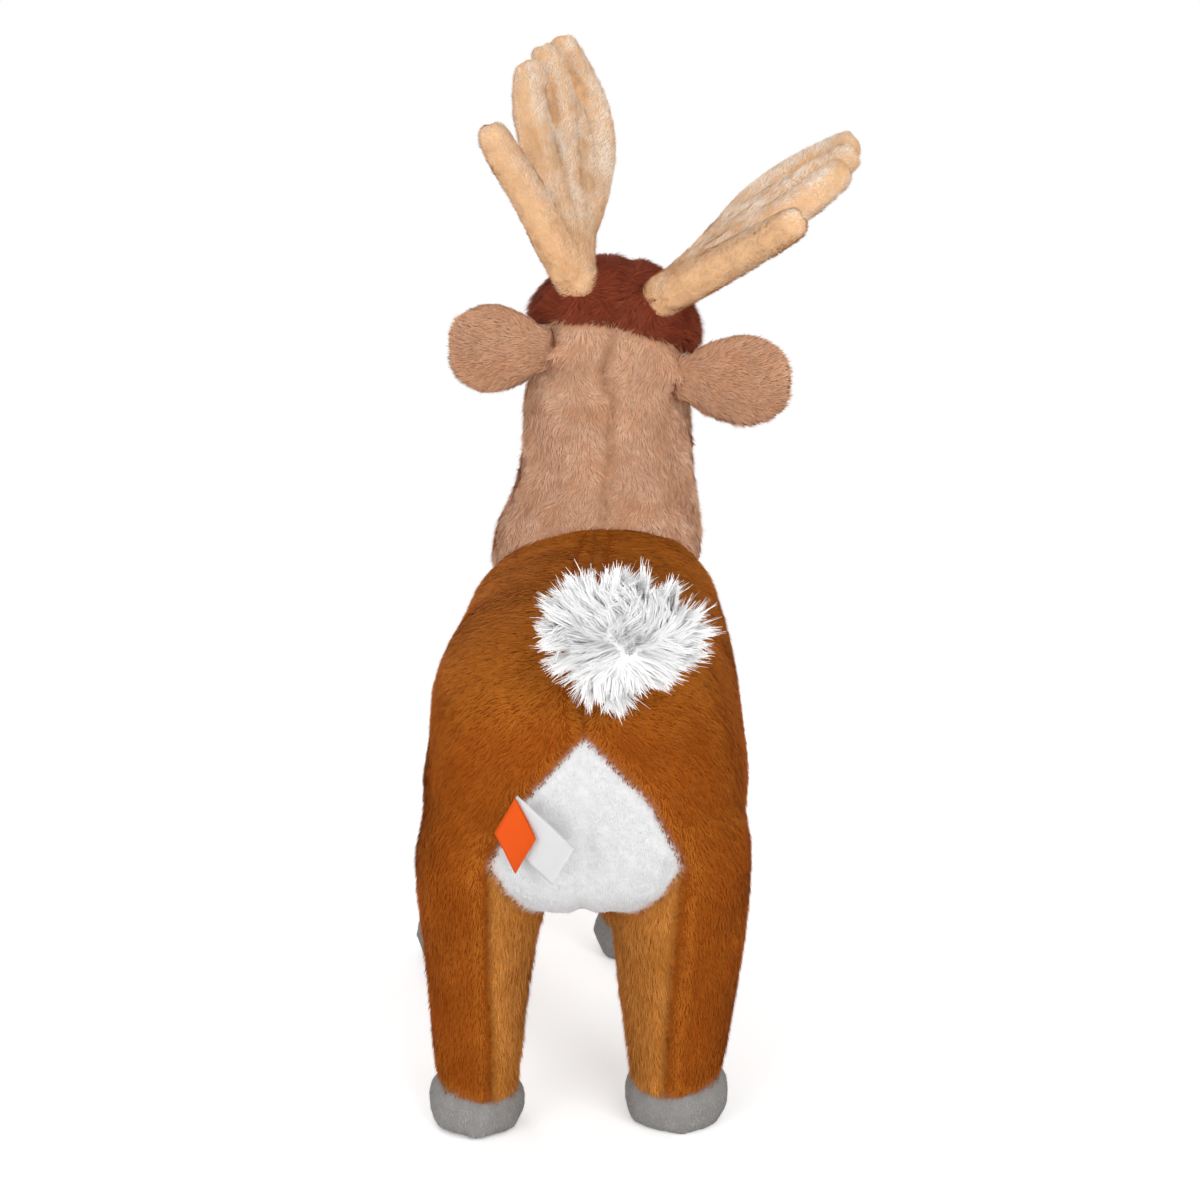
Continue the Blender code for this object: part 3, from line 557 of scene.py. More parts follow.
# The darker piles reach a little over the edge of the paler
reach_over = {"brown": 0.0003, "inner_leg": 0.0002, "crown": 0.0002}
blade_corners = ((0.12, 0.12), (0.88, 0.12), (0.50, 0.88))
tuft_size = 0.0045
short_reach = 0.0022  # the pile is shorter this near to a seam
level_slopes = (0.30, 0.85)  # it lies flatter as its cloth turns level
sole_height = 0.0005  # lower cloth is sole and has no pile
pile_clearance = 0.0002
pile_softness = 0.88  # how far a blade is lit as the cloth below it


def scattered(points, triangles, density, rng):
    """Random places on the triangles, so many to a square metre: a triangle and three weights."""
    a, b, c = (points[triangles[:, i]] for i in range(3))
    area = np.linalg.norm(np.cross(b - a, c - a), axis=1) / 2
    running = np.cumsum(area * density)
    count = int(running[-1])
    chosen = np.searchsorted(running, np.sort(rng.random(count)) * running[-1])
    chosen = np.minimum(chosen, len(triangles) - 1)
    u = np.sqrt(rng.random(count))
    v = rng.random(count)
    return triangles[chosen], np.stack((1 - u, u * (1 - v), u * v), axis=1)


def carried(values, corners, weights):
    """Values at the mesh's points carried to places inside its triangles."""
    values = values[corners]
    if values.ndim == 3:
        weights = weights[:, :, None]
    return (values * weights).sum(axis=1)


def blade_arrays(roots, normals, ways, lengths, widths, lifts, rolls):
    """Three points to a blade: two at the root, width apart, and the tip at length along
    cos(lift) * way + sin(lift) * normal. The width lies square to both, turned by the roll."""
    ways = along(ways, normals)
    reach = turned(ways, normals, lifts)
    side = np.cross(ways, normals)
    side = turned(side, np.cross(reach, side), rolls) * (widths / 2)[:, None]
    tips = roots + reach * lengths[:, None]
    facing = unit(np.cross(2 * side, tips - roots + side))
    return np.stack((roots - side, roots + side, tips), axis=1), facing


def hair_piece(name, body, points, faces, map_corners, tones, gloss, lit=None):
    """A piece of blades or strands, one row of points to each, lit by other normals if given."""
    mesh = new_mesh(name, points.reshape(-1, 3), faces)
    bake_map(mesh, len(points), map_corners)
    painted(mesh, "pile_colour", tones)
    mesh.shade_smooth()
    if lit is not None:
        mesh.normals_split_custom_set_from_vertices(lit.astype(np.float32))
    material = pile_material(name.replace("_", " "), *gloss)
    finish_piece(link_object(name, mesh), body, [material])


def pile(
    name, body, slot, cloth, panels, way, length, seed, colour, density=1e6, swirl=0.35,
    swirl_size=0.045, jitter=0.20, lift=0.24, width=0.00046, sink=0.0003, root_painted_shade=0.74,
    tip_painted_light=1.08, grain=0.09, mottle=0.12,
):
    """Blades over some panels of a cloth from sewn_cloth, lit mostly as the cloth below.

    way(roots, normals) is the nap and colour(roots, normals, seam) the pile's colour. The nap is
    turned by waves of swirl, swirl_size long, and by jitter. density multiplies the property's.
    """
    rng = np.random.default_rng(seed)
    points = cloth["points"]
    corners, weights = scattered(points, cloth["triangles"], sizes().density * density, rng)
    over = np.array([reach_over.get(key.split()[0], 0.0) for key in cloth["groups"]])
    nearest = (carried(cloth["fields"], corners, weights) - over).argmin(axis=1)
    sole = (points[corners, 2] < sole_height).all(axis=1)
    mask = np.isin(nearest, panels) & ~sole
    corners, weights = corners[mask], weights[mask]
    roots = carried(points, corners, weights)
    normals = unit(carried(cloth["normals"], corners, weights))
    seam = carried(cloth["seam"], corners, weights)
    count = len(roots)
    turn = swirl * waves(roots, swirl_size, seed)
    turn += swirl * 0.55 * waves(roots, swirl_size / 3, seed + 1)
    turn += rng.normal(0, jitter, count)
    ways = along(way(roots, normals), normals)
    ways = turned(ways, np.cross(normals, ways), turn)
    tuft = waves(roots, tuft_size, seed + 2)
    level = ramp(normals[:, 2], *level_slopes)
    lifts = lift + 0.10 * tuft + np.abs(rng.normal(0, 0.14, count))
    lifts *= 1 - 0.5 * level
    lengths = length * (1 + 0.16 * tuft) * rng.uniform(0.72, 1.12, count)
    lengths *= 0.55 + 0.45 * (1 - bell(seam, short_reach))
    widths = width * rng.uniform(0.8, 1.2, count)
    rolls = rng.normal(0, 0.14, count)
    sunk = roots - normals * (sink * (1 - 0.8 * level))[:, None]
    blades, facing = blade_arrays(sunk, normals, ways, lengths, widths, lifts, rolls)
    shade = 1 + 0.06 * tuft + rng.normal(0, grain, count)
    base = colour(roots, normals, seam) * shade[:, None]
    # Painted shade and light: each blade's root is darker and its tip lighter than its colour, for
    # the shade deep in the pile and the light on top of it.
    tones = np.stack((base * root_painted_shade,) * 2 + (base * tip_painted_light,), axis=1)
    blades[..., 2] = np.maximum(blades[..., 2], pile_clearance)
    faces = np.arange(count * 3).reshape(-1, 3)
    lit = np.repeat(unit(facing * (1 - pile_softness) + normals * pile_softness), 3, axis=0)
    gloss = (0.9, 0.0, mottle)
    hair_piece(name, body, blades, faces, blade_corners, tones, gloss, lit)


def fanning(centre):
    """A nap that spreads from a point."""
    return lambda roots, normals: unit(roots - centre)


def tinted(
    base, light, size, seed, strength, seam_shade=0.6, seam_reach=0.0012, fringe=0.0, above=0.0
):
    """A colour function: base, lighter in patches, beside seams and on top as painted light, darker
    along seams.
    """
    base, light = np.array(base), np.array(light)

    def colour(roots, normals, seam):
        patch = waves(roots, size, seed) * 0.6 + waves(roots, size / 3, seed + 5) * 0.4
        edge = fringe * bell(seam - 0.0030, 0.0020)
        # Painted light: pile whose cloth faces up is lighter by above, as if lit from above.
        top = above * ramp(normals[:, 2], 0.2, 0.8)
        share = np.clip(strength * (0.5 + 0.5 * patch) + edge + top, 0, 1)[:, None]
        dark = 1 - (1 - np.array(seam_shade)) * bell(seam, seam_reach)[:, None]
        return mix(base, light, share) * dark

    return colour


# Materials


def shader_of(name):
    material = bpy.data.materials.new(name)
    material.use_nodes = True
    return material, material.node_tree, material.node_tree.nodes["Principled BSDF"]


def noise(tree, scale, detail=3.0, roughness=0.55):
    place = add_node(tree, "ShaderNodeTexCoord").outputs["Object"]
    inputs = {"Scale": scale, "Detail": detail, "Roughness": roughness, "Vector": place}
    return add_node(tree, "ShaderNodeTexNoise", inputs).outputs["Fac"]


def colour_ramp(tree, source, low, high, start=0.35, end=0.65):
    blend = add_node(tree, "ShaderNodeValToRGB", {"Fac": source})
    stops = zip(blend.color_ramp.elements, (start, end), (low, high))
    for stop, place, colour in stops:
        stop.position = place
        stop.color = (*colour, 1)
    return blend.outputs["Color"]


def add_bump(tree, shader, source, distance, strength=1.0):
    inputs = {"Distance": distance, "Strength": strength, "Height": source}
    feed(shader, {"Normal": add_node(tree, "ShaderNodeBump", inputs).outputs["Normal"]})


def scaled(colour, factor):
    return tuple(min(1.0, channel * factor) for channel in colour)


def combined(tree, operation, first, second):
    """Two numbers by one operation of arithmetic."""
    node = add_node(tree, "ShaderNodeMath", {0: first, 1: second}, operation=operation)
    return node.outputs[0]


def times_attribute(tree, name, tone):
    """The colours that the mesh's points carry under a name, times a tone."""
    own = add_node(tree, "ShaderNodeAttribute", attribute_name=name).outputs["Color"]
    inputs = {"Factor": 1.0, "A": own, "B": tone}
    settings = {"data_type": "RGBA", "blend_type": "MULTIPLY"}
    return add_node(tree, "ShaderNodeMix", inputs, **settings).outputs["Result"]


def mottled_material(name, scale, detail, low, high, inputs, roughness=0.55, bump=None):
    """From low to high by a noise, which also raises the surface by bump where it is given."""
    material, tree, shader = shader_of(name)
    grain = noise(tree, scale, detail, roughness)
    feed(shader, {"Base Color": colour_ramp(tree, grain, low, high), **inputs})
    if bump is not None:
        add_bump(tree, shader, grain, bump)
    return material


def pile_material(name, roughness, sheen, mottle):
    """The blades' own colour, slightly mottled across the piece."""
    material, tree, shader = shader_of(name)
    tone = colour_ramp(tree, noise(tree, 55.0, 4.0), (1 - mottle,) * 3, (1.0,) * 3)
    tint = times_attribute(tree, "pile_colour", tone)
    feed(shader, {"Base Color": tint, "Roughness": roughness, "Specular IOR Level": 0.04})
    feed(shader, {"Sheen Weight": sheen, "Sheen Roughness": 0.45})
    return material


def cloth_material(name, colour, low=0.55, high=0.85):
    """The knitted backing under a pile, finely grained from low to high times its colour, which
    darkens it as painted shade between the blades; no colour reads "cloth_colour".
    """
    material, tree, shader = shader_of(name)
    base = colour or (1.0, 1.0, 1.0)
    grain = noise(tree, 260.0, 5.0, 0.7)
    tint = colour_ramp(tree, grain, scaled(base, low), scaled(base, high))
    if colour is None:
        tint = times_attribute(tree, "cloth_colour", tint)
    feed(shader, {"Base Color": tint, "Roughness": 0.95, "Specular IOR Level": 0.03})
    add_bump(tree, shader, noise(tree, 1500.0, 2.0), 0.0004, 0.6)
    return material


def woven_material(name, colour, threads, roughness, gloss):
    """Crossed threads from the ribbon's own map: the product of two sets of waves, with a bump."""
    material, tree, shader = shader_of(name)
    inputs = {
        "Scale": threads,
        "Distortion": 0.3,
        "Vector": add_node(tree, "ShaderNodeTexCoord").outputs["UV"],
    }
    warp, weft = (
        add_node(tree, "ShaderNodeTexWave", inputs, bands_direction=way).outputs["Fac"]
        for way in ("X", "Y")
    )
    weave = combined(tree, "MULTIPLY", warp, weft)
    tint = colour_ramp(tree, weave, scaled(colour, 0.78), colour, 0.1, 0.7)
    feed(shader, {"Base Color": tint, "Roughness": roughness, "Specular IOR Level": gloss})
    add_bump(tree, shader, weave, 0.00015, 0.7)
    return material


# Sizes and colours that a user would change


def number_property(name, description, default, low, high, **more):
    settings = {"name": name, "description": description, "default": default, **more}
    return bpy.props.FloatProperty(min=low, max=high, **settings)


def length_property(name, description, default):
    more = {"precision": 4, "subtype": "DISTANCE", "unit": "LENGTH"}
    return number_property(name, description, default, 0.0, 0.05, **more)


def colour_property(name, description, default):
    settings = {"name": name, "description": description, "default": default}
    return bpy.props.FloatVectorProperty(min=0.0, max=1.0, size=3, subtype="COLOR", **settings)


class DeerSizes(bpy.types.PropertyGroup):
    voxel: length_property("Cloth step", "Distance between the points of the body's cloth", 0.004)
    fine_voxel: length_property("Fine step", "The same for the ears and antlers", 0.0018)
    inset: length_property("Inset", "How far the cloth starts inside its solid", 0.0006)
    swell: length_property("Swell", "How far the stuffing may push the cloth out", 0.0014)
    seam_depth: length_property("Seam depth", "How deep a seam is drawn in", 0.0016)
    pressure: number_property("Stuffing pressure", "Pressure in the simulation", 4.0, 0.0, 20.0)
    density: number_property("Pile density", "Blades to a square millimetre", 2.9, 0.1, 4.0)
    body_pile: length_property("Body pile", "Length of the brown pile", 0.0034)
    neck_pile: length_property("Neck pile", "Length of the tan pile", 0.0040)
    short_pile: length_property("Short pile", "Length of the rump patch's pile", 0.0023)
    hoof_pile: length_property("Hoof pile", "Length of the hooves' pile", 0.0015)
    velour: length_property("Velour", "Length of the antlers' velour", 0.0019)
    tail_pile: length_property("Tail pile", "Length of the tail's strands", 0.0118)
    thread: length_property("Thread", "Diameter of the mouth's thread", 0.0011)


class DeerColours(bpy.types.PropertyGroup):
    brown: colour_property("Brown", "Flanks and outer legs", (0.340, 0.074, 0.006))
    inner_leg: colour_property("Inner legs", "Inner legs", (0.530, 0.185, 0.030))
    tan: colour_property("Tan", "Neck, sides of the head, backs of the ears", (0.650, 0.335, 0.190))
    crown: colour_property("Crown", "Top of the head", (0.225, 0.042, 0.019))
    cream: colour_property("Cream", "Belly, throat, muzzle and ear linings", (0.900, 0.840, 0.750))
    white: colour_property("White", "Rump patch", (0.740, 0.740, 0.750))
    tail: colour_property("Tail", "Tail", (0.970, 0.970, 0.970))
    hoof: colour_property("Grey", "Hooves", (0.320, 0.308, 0.295))
    antler: colour_property("Sand", "Antlers", (0.780, 0.490, 0.265))
    orange: colour_property("Orange", "Ribbon tab", (0.900, 0.105, 0.006))
    satin: colour_property("Satin", "Woven label", (0.880, 0.880, 0.890))
    black: colour_property("Black", "Eyes and nose", (0.012, 0.010, 0.009))


class DeerStage(bpy.types.PropertyGroup):
    lens: number_property("Lens", "The camera's focal length in millimetres", 85.0, 20.0, 300.0)
    floor: colour_property("Floor", "Floor and backdrop", (0.930, 0.930, 0.930))
    light: number_property("Key light", "Power of the main lamp", 15.0, 0.0, 500.0, unit="POWER")


def sizes():
    return bpy.context.scene.deer_sizes


def colours():
    return bpy.context.scene.deer_colours


# Body cloth and pile

colour_blend = 0.0003
# Each slot's piece of cloth, and its share of the pile's brightness: the backing is darker than the
# pile, as painted shade in the gaps between blades
cloth_pieces = {
    "brown": ("flank_cloth", 0.7),
    "inner_leg": ("inner_leg_cloth", 0.7),
    "tan": ("neck_and_face_cloth", 0.8),
    "crown": ("crown_cloth", 0.7),
    "cream": ("belly_throat_and_muzzle_cloth", 0.92),
    "white": ("rump_patch_cloth", 0.92),
    "hoof": ("hoof_cloth", 0.8),
}


def filled_out(points):
    """Extra filling: a bell at the neck's root, more on the right, steps up the right hind thigh
    and the legs; less in bells at the neck's left, the waist, mostly on the left, and the rump."""
    x, y, z = (points - origin()).T
    left = ramp(x, -0.02, 0.02)
    shoulders = mix(0.0062, 0.0030, left) * bell(y + 0.155, 0.030) * bell(z - 0.180, 0.020)
    thigh = 0.0042 * (1 - ramp(x, -0.030, -0.010)) * ramp(y, -0.085, -0.050)
    thigh = thigh * ramp(z, 0.0, 0.080) * (1 - ramp(z, 0.114, 0.142))
    legs = mix(0.0008, -0.0006, left) * (1 - ramp(z, 0.050, 0.110))
    legs = legs + 0.0008 * (1 - ramp(z, 0.012, 0.022))
    neck = 0.0055 * ramp(x, -0.020, 0.005) * (1 - ramp(y, -0.140, -0.120)) * bell(z - 0.208, 0.022)
    waist = mix(0.0022, 0.0050, left) * bell(y + 0.046, 0.055)
    waist = waist * bell(z - mix(0.158, 0.143, left), 0.018)
    rump = 0.0018 * bell(z - 0.138, 0.030) * ramp(y, -0.015, 0.035)
    return shoulders + thigh + legs - neck - waist - rump


def standing(points, normals, zone=0.030, sink=0.0008):
    """Filled out; then the lowest zone is stretched down until sink of it would pass the floor, and
    cut flat at z = 0."""
    points = points + normals * filled_out(points)[:, None]
    low = points[:, 2].min()
    share = np.clip((zone - points[:, 2]) / (zone - low), 0.0, 1.0)
    points[:, 2] = np.maximum(points[:, 2] - share * (low + sink), 0.0)
    return points


def make_body_cloth():
    """The torso, legs, neck and head as one skin, then one piece to a slot, out of the faces whose
    middles lie nearest to its panels.

    A point's own colour is the mean of the slots' colours, each darkened as painted shade under the
    pile, weighted by exp(-distance / 0.3 mm).
    """
    size = sizes()
    groups = panel_groups()
    sources = [node for group in groups.values() for node in group] + fillings()
    obj = joined_copy("body cloth", sources, [root_plugs()])
    cloth = made["body"] = sewn_cloth(
        obj, groups, size.voxel, smooth_rounds,
        inset=size.inset, swell=size.swell, depth=size.seam_depth, reach=0.0026, shaped=standing,
    )
    fields = cloth["fields"]
    quads = face_corners(obj.data)
    slots = np.array([name.split()[0] for name in groups])
    owner = slots[fields[quads].mean(axis=1).argmin(axis=1)]
    near = np.exp((fields.min(axis=1, keepdims=True) - fields) / colour_blend)
    # Each slot's colour times its share in cloth_pieces: painted shade, so that gaps between blades
    # look dark.
    tones = [np.array(getattr(colours(), slot)) * cloth_pieces[slot][1] for slot in slots]
    tones = (near / near.sum(axis=1, keepdims=True)) @ np.array(tones)
    for slot, (name, _) in cloth_pieces.items():
        used, faces = np.unique(quads[owner == slot], return_inverse=True)
        mesh = new_mesh(name, cloth["points"][used], faces.reshape(-1, 4))
        mesh.shade_smooth()
        painted(mesh, "cloth_colour", tones[used])
        backing = cloth_material(f"{slot} backing", None, 0.85, 1.0)
        chosen = [group for key, group in groups.items() if key.split()[0] == slot]
        replaced = [node for group in chosen for node in group]
        if slot == "brown":
            replaced += fillings()
        finish_piece(link_object(name, mesh), "body", [backing], replaced)
    bpy.data.objects.remove(obj)


def body_nap(roots, normals):
    """Out to either side over the back, down over the flanks, rump and legs."""
    high = ramp(roots[:, 2], 0.085, 0.175)
    out = normals[:, 0] / (np.abs(normals[:, 0]) + 0.08) * high
    return np.stack((out, 0.20 - 0.10 * high, -1.0 + 0.4 * high), axis=1)


def down_nap(roots, normals):
    return np.tile((0.0, 0.15, -1.0), (len(roots), 1))


def face_nap(roots, normals):
    """Back over the face, turning down behind it along the neck."""
    share = ramp(roots[:, 1], origin()[1] - 0.235, origin()[1] - 0.165)[:, None]
    neck = ramp(roots[:, 2], 0.215, 0.245)[:, None]
    face = np.array((0.0, 1.0, -0.1))
    down = np.array((0.0, 0.25, -1.0))
    return mix(down, mix(face, down, share), neck)


def crown_nap(roots, normals):
    """Out to either side of the crown's middle and a little forward."""
    out = normals[:, 0] / (np.abs(normals[:, 0]) + 0.15)
    return np.stack((out, np.full(len(out), -0.25), np.full(len(out), -0.45)), axis=1)


def make_body_pile():
    """Each row: name, first words of the panels, nap, length, seed, what tinted gets after the
    slot's colour, and what is unlike the flanks' pile."""
    size = sizes()
    cloth = made["body"]
    # Brown's last number lightens the pile on top of the back: painted light from above.
    brown = ((0.50, 0.150, 0.018), 0.026, 21, 0.55, 0.40, 0.0009, 0.5, 0.75)
    for name, words, nap, length, seed, tint, unlike in (
        ("flank_pile_left", "brown left", body_nap, size.body_pile, 11, brown, {}),
        ("flank_pile_right", "brown right", body_nap, size.body_pile, 31, brown, {}),
        (
            "inner_leg_pile", "inner_leg", down_nap, size.neck_pile, 41,
            ((0.76, 0.34, 0.09), 0.020, 42, 0.55, 0.35, 0.0010), {},
        ),
        (
            "neck_and_face_pile", "tan", face_nap, size.neck_pile, 51,
            ((0.81, 0.53, 0.37), 0.016, 52, 1.0, 0.52, 0.0016),
            {"swirl": 0.9, "swirl_size": 0.022},
        ),
        (
            "crown_pile", "crown", crown_nap, size.neck_pile * 1.5, 61,
            ((0.28, 0.066, 0.032), 0.012, 62, 0.9),
            {"swirl": 1.0, "swirl_size": 0.014, "root_painted_shade": 0.80, "grain": 0.14},
        ),
        (
            "belly_throat_and_muzzle_pile", "cream", face_nap, size.neck_pile * 0.8, 71,
            ((0.95, 0.91, 0.85), 0.02, 72, 0.5, 0.8),
            {"root_painted_shade": 0.8, "tip_painted_light": 1.04},
        ),
        (
            "rump_patch_pile", "white", down_nap, size.short_pile, 81,
            ((0.80, 0.80, 0.81), 0.02, 82, 0.5, 0.72, 0.0010),
            {
                "density": 1.6e6, "width": 0.00040, "lift": 0.16, "swirl": 0.2, "mottle": 0.04,
                "root_painted_shade": 0.92, "tip_painted_light": 1.0, "grain": 0.02,
            },
        ),
        (
            "hoof_pile", "hoof", down_nap, size.hoof_pile, 91,
            ((0.48, 0.47, 0.46), 0.012, 92, 0.5, 0.7),
            {
                "density": 1.3e6, "width": 0.0005, "root_painted_shade": 0.75, "tip_painted_light": 1.05,
                "mottle": 0.04,
            },
        ),
    ):
        slot = words.split()[0]
        panels = [index for index, key in enumerate(cloth["groups"]) if key.startswith(words)]
        colour = tinted(getattr(colours(), slot), *tint)
        pile(name, "body", slot, cloth, panels, nap, length, seed, colour, **unlike)


# Ears and antlers

# The left ear is a little shorter than its solid and sits a little higher
ear_fit = {"left": (0.88, 0.003), "right": (1.0, 0.0)}

# Centre lines of the antler's four tines: across as shares of the palm, up as shares of the length
antler_tines = (
    ((-0.03, 0.02), (-0.18, 0.18), (-0.32, 0.31), (-0.48, 0.43), (-0.64, 0.535), (-0.76, 0.62)),
    ((-0.02, 0.02), (-0.07, 0.20), (-0.09, 0.42), (-0.10, 0.60), (-0.07, 0.76), (0.04, 0.88)),
    ((0.01, 0.02), (0.06, 0.20), (0.16, 0.42), (0.25, 0.62), (0.31, 0.79), (0.31, 0.94)),
    ((0.02, 0.02), (0.16, 0.19), (0.41, 0.35), (0.67, 0.51), (0.73, 0.73), (0.55, 0.975)),
)
# Thinner lines between them, which leave soft valleys in the palm, and along its two edges
antler_webs = (
    ((-0.04, 0.20), (-0.14, 0.36), (-0.22, 0.46)),
    ((0.00, 0.20), (0.02, 0.42), (0.04, 0.62)),
    ((0.10, 0.20), (0.26, 0.42), (0.40, 0.62)),
    ((0.16, 0.24), (0.36, 0.42), (0.47, 0.62), (0.46, 0.74)),
    ((-0.10, 0.05), (-0.25, 0.18), (-0.38, 0.30), (-0.52, 0.40)),
    ((0.28, 0.24), (0.50, 0.35), (0.68, 0.47)),
)
antler_root_line = ((0.0, 0.0), (0.0, 0.03), (0.0, 0.06))
# Each set of lines with its radii at the root and at the tip
antler_lines = (
    (antler_tines, 0.0079, 0.0065),
    (antler_webs, 0.0072, 0.0050),
    ((antler_root_line,), 0.0088, 0.0082),
)
antler_length = 0.094
antler_palm = 0.050
antler_cup = 0.005


def make_ears():
    size = sizes()
    palette = colours()
    for word, side in sides:
        reach, rise = ear_fit[word]
        sources = [f"ear_{word}_back", f"ear_{word}_lining"]
        start, axes = framed(f"ear {word}")
        obj = joined_copy(f"ear_{word}_cloth", sources)
        local = (mesh_points(obj.data) - start) @ axes.T
        set_points(obj.data, start + (local * (reach, 1, 1)) @ axes + (0, 0, rise))
        groups = {source: [source] for source in sources}
        cloth = sewn_cloth(
            obj, groups, size.fine_voxel, sewn_rounds,
            inset=-0.0004, swell=0.0012, depth=0.0005, reach=0.0015,
        )
        back = cloth_material(f"{word} ear backing", palette.tan)
        lining = cloth_material(f"{word} ear lining backing", palette.cream, 0.85, 1.0)
        nearest = cloth["fields"][face_corners(obj.data)].mean(axis=1).argmin(axis=1)
        finish_piece(obj, f"{word}_ear", [back, lining], sources)
        obj.data.polygons.foreach_set("material_index", nearest.astype(np.int32))
        for index, layer, slot, light, length in (
            (0, "back", "tan", (0.76, 0.48, 0.32), size.neck_pile),
            (1, "lining", "cream", (0.95, 0.91, 0.85), size.neck_pile * 0.75),
        ):
            pile(
                f"ear_{word}_{layer}_pile", f"{word}_ear", slot, cloth, [index],
                way=fanning(start - axes[0] * side * 0.02),
                length=length,
                seed=101 + index + (side > 0) * 7,
                colour=tinted(getattr(palette, slot), light, 0.015, 103, 0.6, 0.9),
                density=1.25e6, swirl_size=0.02, jitter=0.22, lift=0.45, width=0.0005,
                sink=0.0002, root_painted_shade=0.68,
            )


def smooth_path(points, steps):
    """A curve through the points, each span from a to b a cubic with slopes half of b's next less
    a's last (Catmull and Rom's), steps places to a span."""
    points = np.asarray(points, float)
    padded = np.concatenate((2 * points[:1] - points[1:2], points, 2 * points[-1:] - points[-2:-1]))
    t = np.linspace(0, 1, steps, endpoint=False)[:, None]
    spans = []
    for before, a, b, after in zip(padded, padded[1:], padded[2:], padded[3:]):
        square = (2 * before - 5 * a + 4 * b - after) * t**2
        cube = (3 * a - before - 3 * b + after) * t**3
        spans.append(0.5 * (2 * a + (b - before) * t + square + cube))
    return np.concatenate(spans + [points[-1:]])


def finger_rings(path, radii, upright, columns=18):
    """Rings of a tube of changing radius along a path, with a half ball at either end.

    A ring is centre + radius * (cos(turn) * upright + sin(turn) * way x upright); at the ends the
    centre runs on by radius * sin(a) while the radius falls as cos(a).
    """
    way = unit(np.gradient(path, axis=0))
    cap = np.radians((30.0, 55.0, 72.0, 86.0))
    first = path[0] - way[0] * radii[0] * np.sin(cap[::-1])[:, None]
    last = path[-1] + way[-1] * radii[-1] * np.sin(cap)[:, None]
    centres = np.concatenate((first, path, last))
    radius = np.concatenate((radii[0] * np.cos(cap[::-1]), radii, radii[-1] * np.cos(cap)))
    ways = np.concatenate((np.repeat(way[:1], 4, 0), way, np.repeat(way[-1:], 4, 0)))
    across = unit(upright - ways * (ways @ upright)[:, None])
    ring = turned(across[:, None], np.cross(ways, across)[:, None], full_turn(columns))
    return centres[:, None] + radius[:, None, None] * ring


def closed_mesh(name, grids):
    """One mesh of closed-round grids, their ends filled and all faces turned outwards."""
    faces = []
    count = 0
    for rows, columns, _ in (grid.shape for grid in grids):
        faces.append(grid_faces(rows, columns, closed=True) + count)
        count += rows * columns
    points = np.concatenate([grid.reshape(-1, 3) for grid in grids])

    def close(bm):
        bmesh.ops.holes_fill(bm, edges=bm.edges)
        bmesh.ops.recalc_face_normals(bm, faces=bm.faces)

    return edited(new_mesh(name, points, np.concatenate(faces)), close)


def antler_fingers(side, start, axes):
    """The tines, webs and root as rings in the CAD frame, bent like the sewn sheet."""
    grids = []
    for lines, thick, thin in antler_lines:
        for line in lines:
            across, up = smooth_path(line, 8).T
            bend = -side * antler_cup * across**2 * ramp(2 * up, 0.0, 1.0)
            local = np.stack((across * antler_palm, bend, up * antler_length), axis=1)
            radii = mix(thick, thin, np.linspace(0, 1, len(local)) ** 2)
            grids.append(start + finger_rings(local, radii, np.array((0.0, 1.0, 0.0))) @ axes)
    return grids


def make_antlers():
    size = sizes()
    sand = colours().antler
    # Along the seams, and in the creases that count as seams below, the velour turns this darker
    # orange; in the creases it is painted shade.
    mottled = tinted(sand, (0.98, 0.85, 0.73), 0.014, 113, 1.25, (0.97, 0.84, 0.71), 0.0024)
    for word, side in sides:
        sources = [f"antler_{word}_outer_panel", f"antler_{word}_inner_panel"]
        groups = {source: [source] for source in sources}
        start, axes = framed(f"antler {word}")
        name = f"antler_{word}_cloth"
        obj = link_object(name, closed_mesh(name, antler_fingers(side, start, axes)))
        cloth = sewn_cloth(
            obj, groups, size.fine_voxel, sewn_rounds,
            inset=0.0002, swell=0.0010, depth=0.0009, reach=0.0014,
        )
        # Creases count as seams: their pile is shorter and takes the seams' darker orange, which in
        # a crease is painted shade.
        crease = hollow(obj.data, cloth["points"], cloth["normals"])
        cloth["seam"] = np.minimum(cloth["seam"], 0.0040 * (1 - ramp(crease, 0.0, 0.00030)))
        backing = cloth_material(f"{word} antler backing", sand, 0.8, 1.0)
        finish_piece(obj, f"{word}_antler", [backing], sources)

        def colour(roots, normals, seam, start=start, axes=axes):
            """Browner towards the root."""
            share = (1 - ramp((roots - start) @ axes[2], 0.004, 0.045))[:, None]
            return mottled(roots, normals, seam) * mix(1.0, np.array((0.97, 0.85, 0.71)), share)

        pile(
            f"antler_{word}_velour", f"{word}_antler", "antler", cloth, [0, 1],
            way=fanning(start - axes[2] * 0.03),
            length=size.velour,
            seed=111 + (side > 0) * 7,
            colour=colour,
            density=1.5e6, swirl=0.5, swirl_size=0.018, lift=0.50, width=0.00040, sink=0.0002,
            root_painted_shade=0.88, tip_painted_light=1.05, grain=0.055,
        )


# Tail

tail_step = 0.0022
tail_core = 0.028  # from the root to the middle of the tuft
strand_density = 3.2e6
strand_steps = 5
clump_count = 420


def strand_arrays(roots, middles, tips, widths, across):
    """Flat strands: (1 - t)^2 root + 2 t (1 - t) middle + t^2 tip, width * (1 - 0.85 t^2) wide."""
    t = np.linspace(0, 1, strand_steps)[None, :, None]
    line = (1 - t) ** 2 * roots[:, None] + 2 * t * (1 - t) * middles[:, None] + t**2 * tips[:, None]
    half = (widths[:, None] * (1 - 0.85 * t[..., 0] ** 2) / 2)[..., None] * across[:, None]
    first = (np.arange(len(roots)) * strand_steps * 2)[:, None]
    corner = first + (np.arange(strand_steps - 1) * 2)[None]
    faces = np.stack((corner, corner + 1, corner + 3, corner + 2), axis=-1)
    return np.stack((line - half, line + half), axis=2), faces.reshape(-1, 4)


